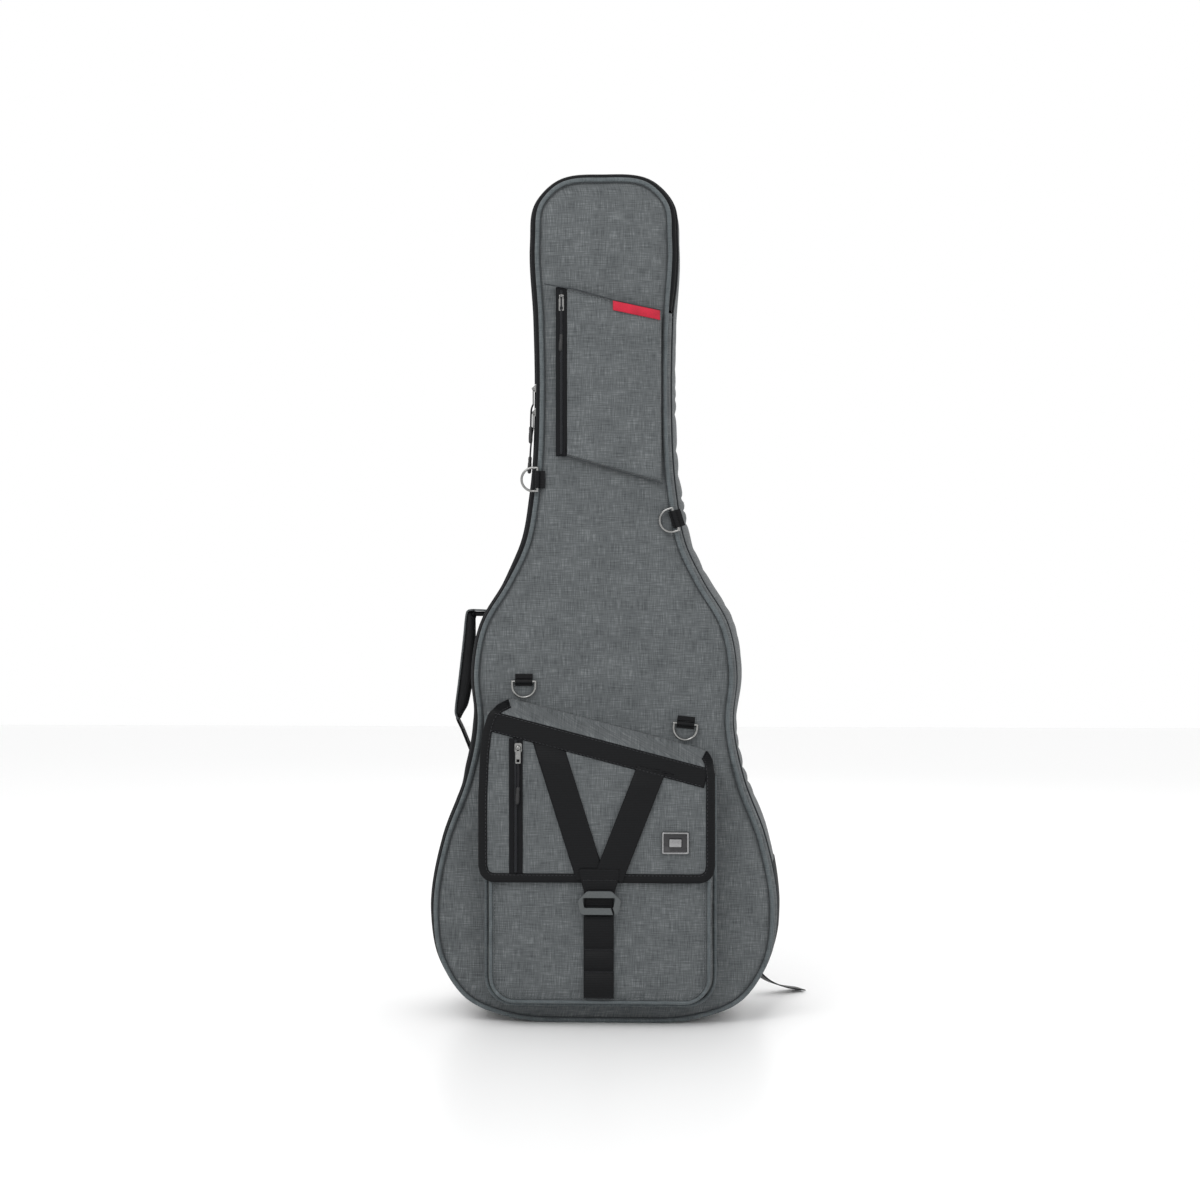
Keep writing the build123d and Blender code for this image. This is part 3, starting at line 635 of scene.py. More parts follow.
def make_side_wall():
    def wall_y(z, v):
        return -0.0465 + (back_y(z) + 0.001 + 0.0465) * v
    wall = wall_strip("side_wall", wall_y, 0.0018, lambda x, z: z > BASE_COVER_Z - 0.01, "grey",
                      gusset_bulge, columns=34, thickness=0.0018)
    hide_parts("side_gusset", "gusset_foam")
    place(wall, "bag_body")
    under = wall_strip("side_wall_low", wall_y, 0.0030, lambda x, z: z <= BASE_COVER_Z, "grey",
                       lambda x, y, z, v: gusset_bulge(x, y, z, v) - 0.0012, columns=24, thickness=0.001)
    place(under, "bag_body")
    cover = wall_strip("base_cover_cloth", wall_y, 0.0012, lambda x, z: z <= BASE_COVER_Z + 0.002, "black",
                       lambda x, y, z, v: gusset_bulge(x, y, z, v) + 0.0006, columns=30, thickness=0.0018)
    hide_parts("base_cover")
    place(cover, "bag_body")

    right_front = wall_strip("side_wall_hinge_edge", strip_y(BODY_FRONT_Y, WALL_Y), 0.0018,
                             lambda x, z: not on_zipper(x, z), "grey",
                             lambda x, y, z, v: 0.001, thickness=0.0016)
    place(right_front, "bag_body")
    hinge = wall_strip("hinge_fold", strip_y(FOLD_Y, -0.0600), 0.0018, lambda x, z: not on_zipper(x, z), "grey",
                       lambda x, y, z, v: tuck(x, y, z, v) + 0.0012 * math.sin(math.pi * v), columns=12)
    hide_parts("hinge_strip")
    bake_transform(hinge)

    loop = resample(inset_loop(-0.0012, SWELL), 0.005, closed=True)
    seam = [(x, -0.0462, max(0.0012, z)) for x, z in loop]
    seam = tube_object("side_seam_front", seam, 0.0011, "thread", closed=True, segments=6)
    place(seam, "bag_body")


# ---------------------------------------------------------------- back
PAD_HALF, PAD_CORNER, PAD_HEIGHT = 0.052, 0.022, 0.008


def make_back():
    def depth(x, z, d):
        channel = sum(0.003 * math.exp(-((z - at) / 0.004) ** 2) for at in (0.18, 0.34, 0.60, 0.80))
        return back_y(z) + 0.0032 * ease(d / 0.03) - min(channel, 0.003) * ease(d / 0.02) + 0.0005
    panel = sheet_object("back_panel_cloth", panel_grid(depth, 0.0030, 200, 60, True), "black", 0.002, -1)
    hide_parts("back_panel", "back_foam")
    place(panel, "bag_body")
    loop = resample(inset_loop(0.0030, SWELL), 0.005, closed=True)
    line = [(x, back_y(z) + 0.0022, max(PIPING_RADIUS, z)) for x, z in loop]
    piping = tube_object("back_edge_piping", line, PIPING_RADIUS, "black", closed=True, segments=12)
    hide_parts("back_piping")
    place(piping, "bag_body")


def make_lining():
    """Plush inside: quilted against the back, plain round the wall."""
    def depth(x, z, d):
        quilt = min(abs(math.sin((x + z) * 36)), abs(math.sin((x - z) * 36)))
        return back_y(z) - 0.0215 - 0.0016 * ease(quilt / 0.35) * ease(d / 0.02)

    def whole(x, z):
        return True
    back = sheet_object("lining_back", panel_grid(depth, 0.0120, 220, 90), "lining", 0.0015, 1)
    wall = wall_strip("lining_wall", lambda z, v: WALL_Y + (back_y(z) - 0.0205 - WALL_Y) * v, 0.0155,
                      whole, "lining", columns=10, thickness=0.0010)
    lip = wall_strip("lining_lip", strip_y(-0.0462, WALL_Y), 0.0025, whole, "black",
                     lambda x, y, z, v: -0.0135 * v, columns=4, thickness=0.0008)
    lining = join([back, wall, lip], "plush_body_lining")
    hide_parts("body_lining")
    place(lining, "bag_body")


def cushion(name, z0, z1, channels):
    """Padded rounded rectangle on the back, with sewn channels across."""
    polygon = rounded_rect(-PAD_HALF, PAD_HALF, z0, z1, PAD_CORNER)

    def point(t, u):
        z = z0 + (z1 - z0) * (0.5 - 0.5 * math.cos(math.pi * t))
        gap = max(0, PAD_CORNER - min(z - z0, z1 - z))
        reach = PAD_CORNER - math.sqrt(max(0, PAD_CORNER**2 - gap**2))
        x = -math.cos(math.pi * u) * (PAD_HALF - reach)
        d = edge_distance(x, z, polygon)
        puff = ease(d / (PAD_HEIGHT * 1.6)) ** 0.6
        for at in channels:
            puff -= 0.55 * math.exp(-((z - at) / 0.0035) ** 2) * ease(d / 0.01)
        return (x, BACK_Y + 0.004 + PAD_HEIGHT * puff, z)
    return sheet_object(name, surface(46, 26, point), "mesh", 0.0015, -1)


def rounded_rect(x0, x1, z0, z1, r, steps=8):
    points = []
    for cx, cz, a0 in ((x1 - r, z0 + r, -90), (x1 - r, z1 - r, 0), (x0 + r, z1 - r, 90), (x0 + r, z0 + r, 180)):
        for k in range(steps + 1):
            a = math.radians(a0 + 90 * k / steps)
            points.append((cx + r * math.cos(a), cz + r * math.sin(a)))
    return np.array(points)


def make_back_pads():
    lower = cushion("pad_low", 0.120, 0.330, (0.19, 0.26))
    upper = cushion("pad_high", 0.365, 0.505, (0.435,))
    pads = join([lower, upper], "lumbar_pads")
    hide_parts("back_pads")
    place(pads, "bag_body")


# ---------------------------------------------------------------- neck pocket, label


def neck_top(x):
    return float(np.interp(x, [-0.082, -0.048, -0.037, 0.014, 0.076, 0.09],
                           [0.9747, 0.9685, 0.9668, 0.952, 0.9385, 0.9355]))


def neck_bottom(x):
    return float(np.interp(x, [-0.062, -0.048, 0.081, 0.09], [0.751, 0.748, 0.711, 0.709]))


def make_neck_pocket():
    x0, x1 = -0.0475, 0.0765

    def cloth(t, u):
        x = x0 + (min(half_width(0.83 + 0.1 * t) - 0.0068, x1) - x0) * u
        z = neck_bottom(x) + (neck_top(x) - neck_bottom(x)) * t
        sag = 0.0022 * math.exp(-((t - 0.035) / 0.03) ** 2)
        puff = 0.0014 * ease(min(u, 1 - u) * 0.12 / 0.02) * ease(min(t, 1 - t) * 0.22 / 0.03)
        ripple = 0.0005 * noise.noise(Vector((x * 24, z * 9, 1.7)))
        sewn = 0.0012 if t in (0, 1) or u == 1 else 0
        return (x, PANEL_Y - 0.0078 - puff - sag - ripple + sewn, z)
    pocket = sheet_object("neck_pocket_cloth", surface(70, 44, cloth), "grey", 0.0014, 1)
    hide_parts("neck_pocket")
    place(pocket, "front_lid")

    top_line = [(x, PANEL_Y - 0.0092, neck_top(x) + 0.0003) for x in np.linspace(-0.078, 0.077, 40)]
    low_line = [(x, PANEL_Y - 0.0092, neck_bottom(x) - 0.0006) for x in np.linspace(-0.048, 0.079, 40)]
    edges = [tube_object("neck_top_seam", top_line, 0.0009, "thread", segments=6),
             tube_object("neck_low_seam", low_line, 0.0005, "thread", segments=6)]
    place(join(edges, "neck_pocket_seams"), "front_lid")
    row = [(x, PANEL_Y - 0.0096, neck_top(x) - 0.0035) for x in np.linspace(-0.046, 0.075, 60)]
    place(stitch_line("neck_pocket_stitches", row), "front_lid")

    def tape_point(t, u):
        return (-0.0624 + 0.0146 * u, PANEL_Y - 0.0077 - 0.0004 * math.sin(math.pi * u), 0.747 + 0.223 * t)
    tape = sheet_object("neck_zip_tape_cloth", surface(60, 6, tape_point), "tape", 0.0011, 1)
    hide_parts("neck_zip_tape")
    place(tape, "front_lid")
    place(zip_coil("neck_zip_coil", -0.055, 0.750, 0.966, PANEL_Y - 0.0088), "front_lid")

    def label_point(t, u):
        y = PANEL_Y - 0.0104 - 0.0006 * math.sin(math.pi * t) - 0.0003 * math.sin(u * 9)
        return (0.013 + 0.062 * u, y, 0.9515 - 0.0135 * u - 0.0125 * t)
    label = sheet_object("blank_label", surface(8, 24, label_point), "label", 0.0011, 1)
    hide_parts("side_label")
    place(label, "front_lid")


def zip_coil(name, x, z0, z1, y):
    line = [(x, y, z) for z in np.arange(z0, z1, 0.0011)]
    coil = tube_object(name, line, 0.0021, "coil", segments=COIL_SEGMENTS, flat=0.5)
    notch(coil, 0, x, 0.18)
    return coil


# ---------------------------------------------------------------- accessory pocket
def seam_line(x, s=0.0):
    """Height of the line s below the flap's seam at x."""
    return SEAM_Z - (x - SEAM_X) * math.tan(SEAM_SLOPE) - s / math.cos(SEAM_SLOPE)


def seam_depth(x, z):
    """How far below the flap's seam a point lies."""
    return (seam_line(x) - z) * math.cos(SEAM_SLOPE)


def pocket_edge(x, x0, x1, z0, r):
    """Lower edge with round corners."""
    if x < x0 + r:
        return z0 + r - math.sqrt(max(0, r * r - (x0 + r - x) ** 2))
    if x > x1 - r:
        return z0 + r - math.sqrt(max(0, r * r - (x - x1 + r) ** 2))
    return z0


def make_pocket():
    x0, x1, z0, corner = -0.1431, 0.1358, 0.0366, 0.030
    polygon = np.array([(x, pocket_edge(x, x0, x1, z0, corner)) for x in np.linspace(x0, x1, 60)]
                       + [(x1, seam_line(x1, 0.03)), (x0, seam_line(x0, 0.03))])

    def cloth(t, u):
        x = (x0 + x1) / 2 - (x1 - x0) / 2 * math.cos(math.pi * u)
        low, high = pocket_edge(x, x0, x1, z0, corner), seam_line(x, 0.030)
        z = low + (high - low) * (0.5 - 0.5 * math.cos(math.pi * t))
        d = edge_distance(x, z, polygon)
        puff = 0.0028 * ease(d / 0.02) + 0.0010 * noise.noise(Vector((x * 11, z * 14, 5)))
        return (x, POCKET_FRONT_Y + 0.0012 - puff * ease(d / 0.006), z)
    front = sheet_object("pocket_front_cloth", surface(60, 80, cloth), "grey", 0.0018, 1)
    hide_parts("pocket_front")
    place(front, "front_lid")

    def u_line(inset, y, r, top_s):
        """Down the pocket's left side, along its base and up its right side."""
        left, right, low = -0.152 + inset, 0.1447 - inset, 0.0277 + inset
        turn = [(r * math.cos(a), r * math.sin(a)) for a in np.linspace(0, math.pi / 2, 10)]
        pts = [(left, seam_line(left, top_s))]
        pts += [(left + r - c, low + r - s) for c, s in turn]
        pts += [(right - r + s, low + r - c) for c, s in turn]
        pts += [(right, seam_line(right, top_s))]
        return np.array([(x, y, z) for x, z in resample(pts, 0.004)])

    steps, most = 12, 230
    lines = [resample(u_line(0.0085 * k / steps, 0, 0.036 - 0.006 * k / steps, 0.029), 0.004)[:most]
             for k in range(steps + 1)]
    count = min(len(line) for line in lines)
    grid = []
    for k, line in enumerate(lines):
        t = k / steps
        y = PANEL_Y - 0.004 + (POCKET_FRONT_Y + 0.002 - PANEL_Y + 0.004) * t
        row = []
        for i, p in enumerate(resample(line, run_length(line)[-1] / (count - 1))[:count]):
            crease = 0.0022 * math.sin(math.pi * t) * (0.6 + 0.4 * math.sin(i * 0.21))
            towards = np.array((-p[0] * 0.4, 0, 0.15 - p[2]))
            q = p + towards / np.linalg.norm(towards) * crease
            row.append((q[0], y, q[2]))
        grid.append(row)
    gusset = sheet_object("pocket_side_cloth", grid, "grey", 0.0014)
    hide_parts("pocket_gusset")
    place(gusset, "front_lid")

    front_line = u_line(0.0062, POCKET_FRONT_Y + 0.0004, 0.032, 0.030)
    base_line = u_line(-0.0022, PANEL_Y - 0.0072, 0.037, 0.030)
    pipes = join([tube_object("pocket_pipe_a", front_line, 0.0024, "piping"),
                  tube_object("pocket_pipe_b", base_line, 0.0024, "piping")], "pocket_edge_piping")
    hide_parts("pocket_piping")
    place(pipes, "front_lid")
    inner = u_line(0.0115, POCKET_FRONT_Y - 0.0022, 0.027, 0.04)
    place(stitch_line("pocket_stitches", inner), "front_lid")


DAISY_X, DAISY_HALF = -0.0045, 0.0195
DAISY_LOOPS = [(0.041, 0.072), (0.076, 0.101), (0.105, 0.149)]


def daisy_y(z):
    """Webbing lies on the pocket and bows out into a loop between its bar tacks."""
    for z0, z1 in DAISY_LOOPS:
        if z0 < z < z1:
            return POCKET_FRONT_Y - 0.0030 - 0.0036 * math.sin(math.pi * (z - z0) / (z1 - z0)) ** 0.7
    return POCKET_FRONT_Y - 0.0030


def zigzag(name, x, half, y, z):
    """Bar tack: 60 close stitches across a strap."""
    pts = [(x + half * u, y, z + 0.0009 * (-1) ** k) for k, u in enumerate(np.linspace(-1, 1, 60))]
    return tube_object(name, pts, 0.00045, "thread_black", segments=5)


def make_daisy_chain():
    across = np.linspace(-1, 1, 13)
    flat = [[(DAISY_X + u * DAISY_HALF, POCKET_FRONT_Y - 0.0026, z) for u in across]
            for z in np.linspace(0.0395, 0.238, 150)]
    bowed = [[(DAISY_X + u * DAISY_HALF, daisy_y(z) - 0.0006 * (1 - u * u), z) for u in across]
             for z in np.linspace(0.0395, 0.1505, 150)]
    base = sheet_object("daisy_base", flat, "web_shiny", 0.0012)
    top = sheet_object("daisy_loops", bowed, "web_shiny", 0.0013)
    tacks = [zigzag(f"tack_{int(z * 1000)}", DAISY_X, DAISY_HALF - 0.0012, POCKET_FRONT_Y - 0.0040, z)
             for z in (0.0405, 0.074, 0.103, 0.150)]
    chain = join([base, top] + tacks, "daisy_chain_webbing")
    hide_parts("daisy_chain")
    place(chain, "front_lid")


# ---------------------------------------------------------------- flap
def flap_y(s):
    """Front of the flap's cloth, s below its seam: over the pocket's top, then down its front."""
    t = ease((s + 0.001) / 0.024)
    y = (PANEL_Y - 0.0035) + (FLAP_Y - PANEL_Y + 0.0035) * t
    return y - 0.0012 * ease((s - 0.02) / 0.05) * ease((0.22 - s) / 0.1)


FLAP_LEFT, FLAP_RIGHT = -0.1605, 0.1455
FLAP_TOP = [(FLAP_LEFT, 0.30), (-0.1585, 0.352), (-0.1545, 0.388), (-0.1475, 0.409), (-0.137, 0.4205),
            (-0.121, 0.4282)]
BINDING_PROFILE = [(0.0002, 0.0022), (-0.0008, 0.0008), (-0.0008, -0.0006), (0.0006, -0.0016), (0.004, -0.0017),
                   (0.0085, -0.0017), (0.0100, -0.0012), (0.0102, 0.0)]


def flap_upper(x):
    """Upper edge of the flap: the seam, with a rounded shoulder at each end."""
    if x <= FLAP_TOP[-1][0]:
        return float(np.interp(x, *zip(*FLAP_TOP)))
    if x >= 0.129:
        return float(np.interp(x, [0.129, 0.138, 0.1445, 0.1455], [seam_line(0.129), 0.357, 0.346, 0.330]))
    return seam_line(x)


def flap_lower(x):
    return pocket_edge(x, FLAP_LEFT, FLAP_RIGHT, 0.1915, 0.020)


def flap_polygon():
    xs = np.linspace(FLAP_LEFT, FLAP_RIGHT, 120)
    return np.array([(x, flap_lower(x)) for x in xs] + [(x, flap_upper(x)) for x in reversed(xs)])


def make_flap():
    polygon = flap_polygon()

    def cloth_point(t, u):
        x = (FLAP_LEFT + FLAP_RIGHT) / 2 - (FLAP_RIGHT - FLAP_LEFT) / 2 * math.cos(math.pi * u)
        low, high = flap_lower(x), flap_upper(x)
        z = low + (high - low) * t
        d = edge_distance(x, z, polygon)
        ripple = 0.0007 * noise.noise(Vector((x * 14, z * 12, 9))) * ease(d / 0.02)
        return (x, flap_y(seam_depth(x, z)) - ripple, z)
    cloth = sheet_object("flap_cloth", surface(84, 96, cloth_point), "roof", 0.0020, 1)
    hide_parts("flap_panel")
    place(cloth, "pocket_flap")

    edge = resample(polygon, 0.003, closed=True)
    normals = normals_2d(edge, True)
    keep = [i for i in range(len(edge)) if seam_depth(*edge[i]) > 0.0015]
    start = next(i for i in keep if (i - 1) % len(edge) not in keep)
    order = [(start + k) % len(edge) for k in range(len(keep))]

    def on_edge(i, inward, lift):
        x, z = edge[i] - normals[i] * inward
        return (x, flap_y(seam_depth(x, z)) + lift, z)
    grid = [[on_edge(i, inward, lift - 0.0002) for inward, lift in BINDING_PROFILE] for i in order]
    binding = sheet_object("flap_edge_binding", grid, "web", 0.0008)
    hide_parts("flap_binding")
    place(binding, "pocket_flap")
    inner = [on_edge(i, 0.0086, -0.0024) for i in order]
    place(stitch_line("binding_stitches", inner, "thread_black"), "pocket_flap")

    def band_point(along, s, lift):
        x = SEAM_X + along * math.cos(SEAM_SLOPE) - s * math.sin(SEAM_SLOPE)
        z = SEAM_Z - along * math.sin(SEAM_SLOPE) - s * math.cos(SEAM_SLOPE)
        return (x, flap_y(s) + lift, z)
    grid = [[band_point(a, s, -0.0008 if abs(s - 0.033) > 0.0128 else -0.0016)
             for s in np.linspace(0.0200, 0.0462, 16)] for a in np.linspace(-0.1455, 0.1445, 90)]
    band = sheet_object("flap_slanted_band", grid, "web", 0.0013, 1)
    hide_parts("flap_band")
    place(band, "pocket_flap")
    rows = [stitch_line(f"band_row_{int(s * 1e4)}",
                        [band_point(a, s, -0.0030) for a in np.linspace(-0.143, 0.142, 60)], "thread_black")
            for s in (0.0218, 0.0444)]
    place(join(rows, "band_stitches"), "pocket_flap")

    def tape_point(t, u):
        x, z = -0.1212 + 0.0178 * u, 0.2015 + 0.1765 * t
        return (x, flap_y(seam_depth(x, z)) - 0.0016, z)
    tape = sheet_object("flap_zip_tape_cloth", surface(69, 6, tape_point), "tape", 0.0010, 1)
    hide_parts("flap_zip_tape")
    place(tape, "pocket_flap")
    place(zip_coil("flap_zip_coil", -0.1122, 0.2035, 0.377, FLAP_Y - 0.0040), "pocket_flap")
    make_v_straps()


HOOK_X, V_WIDTH = -0.0033, 0.0375
BEZEL_PROFILE = [(0, 0), (0.0003, -0.0022), (0.0010, -0.0028), (0.0022, -0.0028), (0.0028, -0.0016),
                 (0.0030, -0.0010)]


def strap_between(name, top, bottom, y_of):
    """Flat V strap from its top to its bottom point, cut off under the slanted band."""
    a, b = np.array(top), np.array(bottom)
    ahead = (b - a) / np.linalg.norm(b - a)
    across = np.array((-ahead[1], ahead[0]))

    def point(t, v):
        u = -1 + 2 * v
        x, z = a + (b - a) * t + across * u * V_WIDTH / 2
        z = min(z, seam_line(x, 0.0400))
        return (x, y_of(x, z) - 0.0006 * (1 - u * u) + 0.0002 * abs(u) ** 8, z)
    return sheet_object(name, surface(60, 14, point), "web_shiny", 0.0014, 1)


def make_v_straps():
    def lie(x, z):
        s = seam_depth(x, max(z, 0.19))
        return flap_y(s) - 0.0004 - 0.0022 * ease((s - 0.046) / 0.02)
    left = strap_between("v_left", (-0.0770, 0.3929), (-0.0150, 0.197), lambda x, z: lie(x, z) - 0.0002)
    right = strap_between("v_right", (0.0753, 0.3670), (0.0085, 0.197), lambda x, z: lie(x, z) - 0.0018)
    top_y = FLAP_Y - 0.0050

    def loop_point(t, v):
        """Down the front, then round the hook's bar and up behind it."""
        half = 0.0262 - 0.0070 * ease(t * 1.6)
        if t < 0.5:
            y, z = top_y - 0.0008 + 0.0024 * ease((2 * t - 0.55) / 0.4), 0.2085 - 0.0620 * t
        else:
            a = math.radians(300) * (2 * t - 1)
            y, z = top_y + 0.0034 - 0.0018 * math.cos(a), 0.1775 - 0.0022 * math.sin(a)
        return (HOOK_X + (2 * v - 1) * half, y, z)
    loop = sheet_object("v_loop", surface(60, 14, loop_point), "web_shiny", 0.0012)
    tack = zigzag("v_tack", HOOK_X, 0.021, top_y - 0.0018, 0.1945)
    straps = join([left, right, loop, tack], "v_strap_webbing")
    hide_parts("v_straps")
    place(straps, "pocket_flap")


def make_badge():
    """Blank metal badge: raised bezel, sunken dark plate with a plain rectangle."""
    lo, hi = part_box("badge")
    y = FLAP_Y - 0.0022
    bezel = []
    for inset, lift in BEZEL_PROFILE:
        corner = max(0.0006, 0.0024 - inset * 0.6)
        ring = rounded_rect(lo.x + inset, hi.x - inset, lo.z + inset, hi.z - inset, corner)
        bezel.append([(x, y + lift, z) for x, z in ring])
    plate = ring_object("badge_bezel", bezel, "gunmetal")
    plate.data.materials.append(M["recess"])
    for face in plate.data.polygons:
        if abs(face.center.y - (y - 0.0010)) < 0.0003:
            face.material_index = 1
    cx, cz = rounded_rect(lo.x, hi.x, lo.z, hi.z, 0.0024).mean(0)
    boss = []
    for inset, lift in ((0, -0.0010), (0.0001, -0.0021), (0.0006, -0.0024)):
        w, h = 0.0080 - inset, 0.0052 - inset
        boss.append([(x, y + lift, z) for x, z in rounded_rect(cx - w, cx + w, cz - h, cz + h, 0.0010)])
    faces = capped_faces(len(boss), len(boss[0]))
    faces.remove(tuple(range(len(boss[0]))))
    boss = make_object("badge_boss", [p for ring in boss for p in ring], faces, "gunmetal")
    badge = join([plate, boss], "blank_badge")
    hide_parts("badge")
    place(badge, "pocket_flap")


# ---------------------------------------------------------------- zipper pulls
UPPER_CORD = [(0, 0, -0.0008), (0.0032, -0.0015, -0.0045), (0.0066, -0.0025, -0.011),
              (0.0074, -0.0027, -0.0315)]
LOWER_CORD = [(0, 0, 0), (0.0002, -0.0025, -0.012), (0.0006, -0.004, -0.039)]
SHORT_CORD = [(0, 0, 0), (0.0009, 0, -0.0155), (0, 0, -0.031)]
ZIPS = [
    ("upper_main", (-0.0878, -0.0609, 0.840), -90, UPPER_CORD),
    ("lower_main", (-0.0879, -0.0609, 0.808), -90, LOWER_CORD),
    ("neck_pocket", (-0.055, -0.0852, 0.959), 0, SHORT_CORD),
    ("flap_pocket", (-0.109, -0.1226, 0.366), 0, SHORT_CORD),
]
PULL_Y, PULL_END, CORD_D = -0.0067, -0.0205, 0.0024


def turned(place_at, turn, p):
    a = math.radians(turn)
    x = p[0] * math.cos(a) - p[1] * math.sin(a)
    y = p[0] * math.sin(a) + p[1] * math.cos(a)
    return (place_at[0] + x, place_at[1] + y, place_at[2] + p[2])


def revolve(name, centre, axis, profile, material):
    """Turned shape: profile of (along, radius) about axis through centre."""
    axis = np.array(axis, float)
    axis /= np.linalg.norm(axis)
    side = np.cross(axis, (0.3, 1, 0.2))
    side /= np.linalg.norm(side)
    up = np.cross(axis, side)
    rings = [[np.array(centre) + axis * along + (side * c + up * s) * radius for c, s in around(20)]
             for along, radius in profile]
    return ring_object(name, rings, material)


GRIP_PROFILE = [(-0.001, 0.0010), (0, 0.0019), (0.001, 0.0023), (0.004, 0.0024), (0.005, 0.0021),
                (0.006, 0.0024), (0.007, 0.0021), (0.008, 0.0025), (0.012, 0.0027), (0.017, 0.0027),
                (0.020, 0.0025), (0.0215, 0.0017), (0.022, 0.0008)]
DOME_PROFILE = [(0, 0.0040), (0.0010, 0.0039), (0.0022, 0.0032), (0.0030, 0.0022), (0.0034, 0.0010)]


def make_zip_pull(prefix, at, turn, cord):
    slider = bevelled_copy(f"{prefix}_slider", f"{prefix}_slider_metal", "nickel", 0.0007)
    dome = revolve(f"{prefix}_dome", turned(at, turn, (0, -0.0040, -0.0005)),
                   turned((0, 0, 0), turn, (0, -1, 0)), DOME_PROFILE, "nickel")
    place(join([slider, dome], f"{prefix}_slider_metal"), f"{prefix}_slider")
    pull = bevelled_copy(f"{prefix}_pull", f"{prefix}_pull_metal", "nickel", 0.0004)
    place(pull, f"{prefix}_pull")

    route = [turned(at, turn, (x, PULL_Y + y, PULL_END - 0.0001 + z)) for x, y, z in cord]
    curve = bpy.data.curves.new(f"{prefix}_pull_cord", "CURVE")
    curve.dimensions = "3D"
    spline = curve.splines.new("NURBS")
    spline.points.add(len(route) - 1)
    for point, co in zip(spline.points, route):
        point.co = (*co, 1)
    spline.order_u = 3
    spline.use_endpoint_u = True
    spline.resolution_u = 16
    curve.bevel_depth = CORD_D / 2
    curve.bevel_resolution = 5
    curve.use_fill_caps = True
    curve.materials.append(M["cord"])
    piece = new_object(f"{prefix}_pull_cord", curve)
    heading = Vector(route[-1]) - Vector(route[-2])
    grip = revolve(f"{prefix}_moulded_grip", route[-1], heading, GRIP_PROFILE, "grip")
    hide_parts(f"{prefix}_cord")
    if prefix.endswith("main"):
        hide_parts(f"{prefix}_grip")
    place(piece, f"{prefix}_pull")
    place(grip, f"{prefix}_pull")
    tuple(route[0])


# ---------------------------------------------------------------- handles and straps
def profile_strip(name, line, width, material, thickness, across=(0, 1, 0)):
    """Flat strap along a 3-D line, its width along across."""
    across = np.array(across, float) / np.linalg.norm(across)
    grid = [[p + across * u * width / 2 for u in np.linspace(-1, 1, 9)] for p in np.array(line, float)]
    return sheet_object(name, grid, material, thickness)


def smooth_line(points, spacing=0.003):
    """Catmull-Rom line through points."""
    pts = [np.array(p, float) for p in points]
    pts = [2 * pts[0] - pts[1]] + pts + [2 * pts[-1] - pts[-2]]
    out = []
    for p0, p1, p2, p3 in zip(pts, pts[1:], pts[2:], pts[3:]):
        for t in np.linspace(0, 1, 12, endpoint=False):
            out.append(0.5 * (2 * p1 + (p2 - p0) * t + (2 * p0 - 5 * p1 + 4 * p2 - p3) * t**2
                              + (3 * p1 - p0 - 3 * p2 + p3) * t**3))
    out.append(pts[-2])
    return resample(np.array(out), spacing)


HANDLE_OUTER = [(-0.1800, 0.5445), (-0.1860, 0.5440), (-0.1895, 0.538), (-0.1930, 0.505), (-0.1990, 0.452),
                (-0.2040, 0.412), (-0.2035, 0.402), (-0.2005, 0.396)]
HANDLE_INNER = [(-0.1775, 0.5350), (-0.1780, 0.5340), (-0.1785, 0.528), (-0.1785, 0.500), (-0.1820, 0.452),
                (-0.1880, 0.418), (-0.1950, 0.404), (-0.1985, 0.397)]


def side_web(name, points, width, material, thickness):
    """Handle webbing through (x, z) points at y = 0."""
    return profile_strip(name, smooth_line([(x, 0, z) for x, z in points]), width, material, thickness)


def make_side_handle():
    """Grip with a grey outer face and black padding towards the hand, on webbing ends."""
    lines = [smooth_line([(x, 0, z) for x, z in face]) for face in (HANDLE_OUTER, HANDLE_INNER)]
    lines[1] = resample(lines[1], 0.003)
    n = min(map(len, lines))
    outer, inner = (line[np.round(np.linspace(0, len(line) - 1, n)).astype(int)] for line in lines)
    rings = []
    for i in range(n):
        size = min(1, math.sin(math.pi * min(max(i / (n - 1), 0.02), 0.98)) * 5) ** 0.5
        mid, reach = (outer[i] + inner[i]) / 2, (inner[i] - outer[i]) / 2
        ring = [(mid + reach * c, s * 0.0160 * size) for c, s in around(28, 0.7, 0.6)]
        rings.append([(p[0], y, p[2]) for p, y in ring])
    grip = ring_object("handle_grip_pad", rings, "black")
    cover = profile_strip("handle_cover", outer + (0.0004, 0, 0), 0.0335, "grey", 0.0024)
    top = side_web("handle_top_web", [(-0.1770, 0.5395), (-0.1800, 0.5398), (-0.1830, 0.5398)],
                   WEB, "web", 0.0060)
    tail = side_web("handle_tail_web",
                    [(-0.2025, 0.406), (-0.2020, 0.396), (-0.1955, 0.382), (-0.1835, 0.3525)],
                    WEB, "web", 0.0026)
    handle = join([grip, cover, top, tail], "carrying_handle")
    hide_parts("side_handle")
    place(handle, "side_handle")
    upper = side_web("anchor_top", [(-0.152, 0.5385), (-0.166, 0.5392), (-0.1775, 0.5394)], WEB, "web", 0.0064)
    lower = side_web("anchor_low", [(-0.1800, 0.336), (-0.1812, 0.345), (-0.1830, 0.3530)], WEB, "web", 0.0024)
    skin = side_web("anchor_cover", [(-0.152, 0.5428), (-0.166, 0.5440), (-0.1780, 0.5444)],
                    0.030, "grey", 0.0024)
    anchors = join([upper, lower, skin], "handle_anchor_webbing")
    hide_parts("handle_anchors")
    place(anchors, "bag_body")


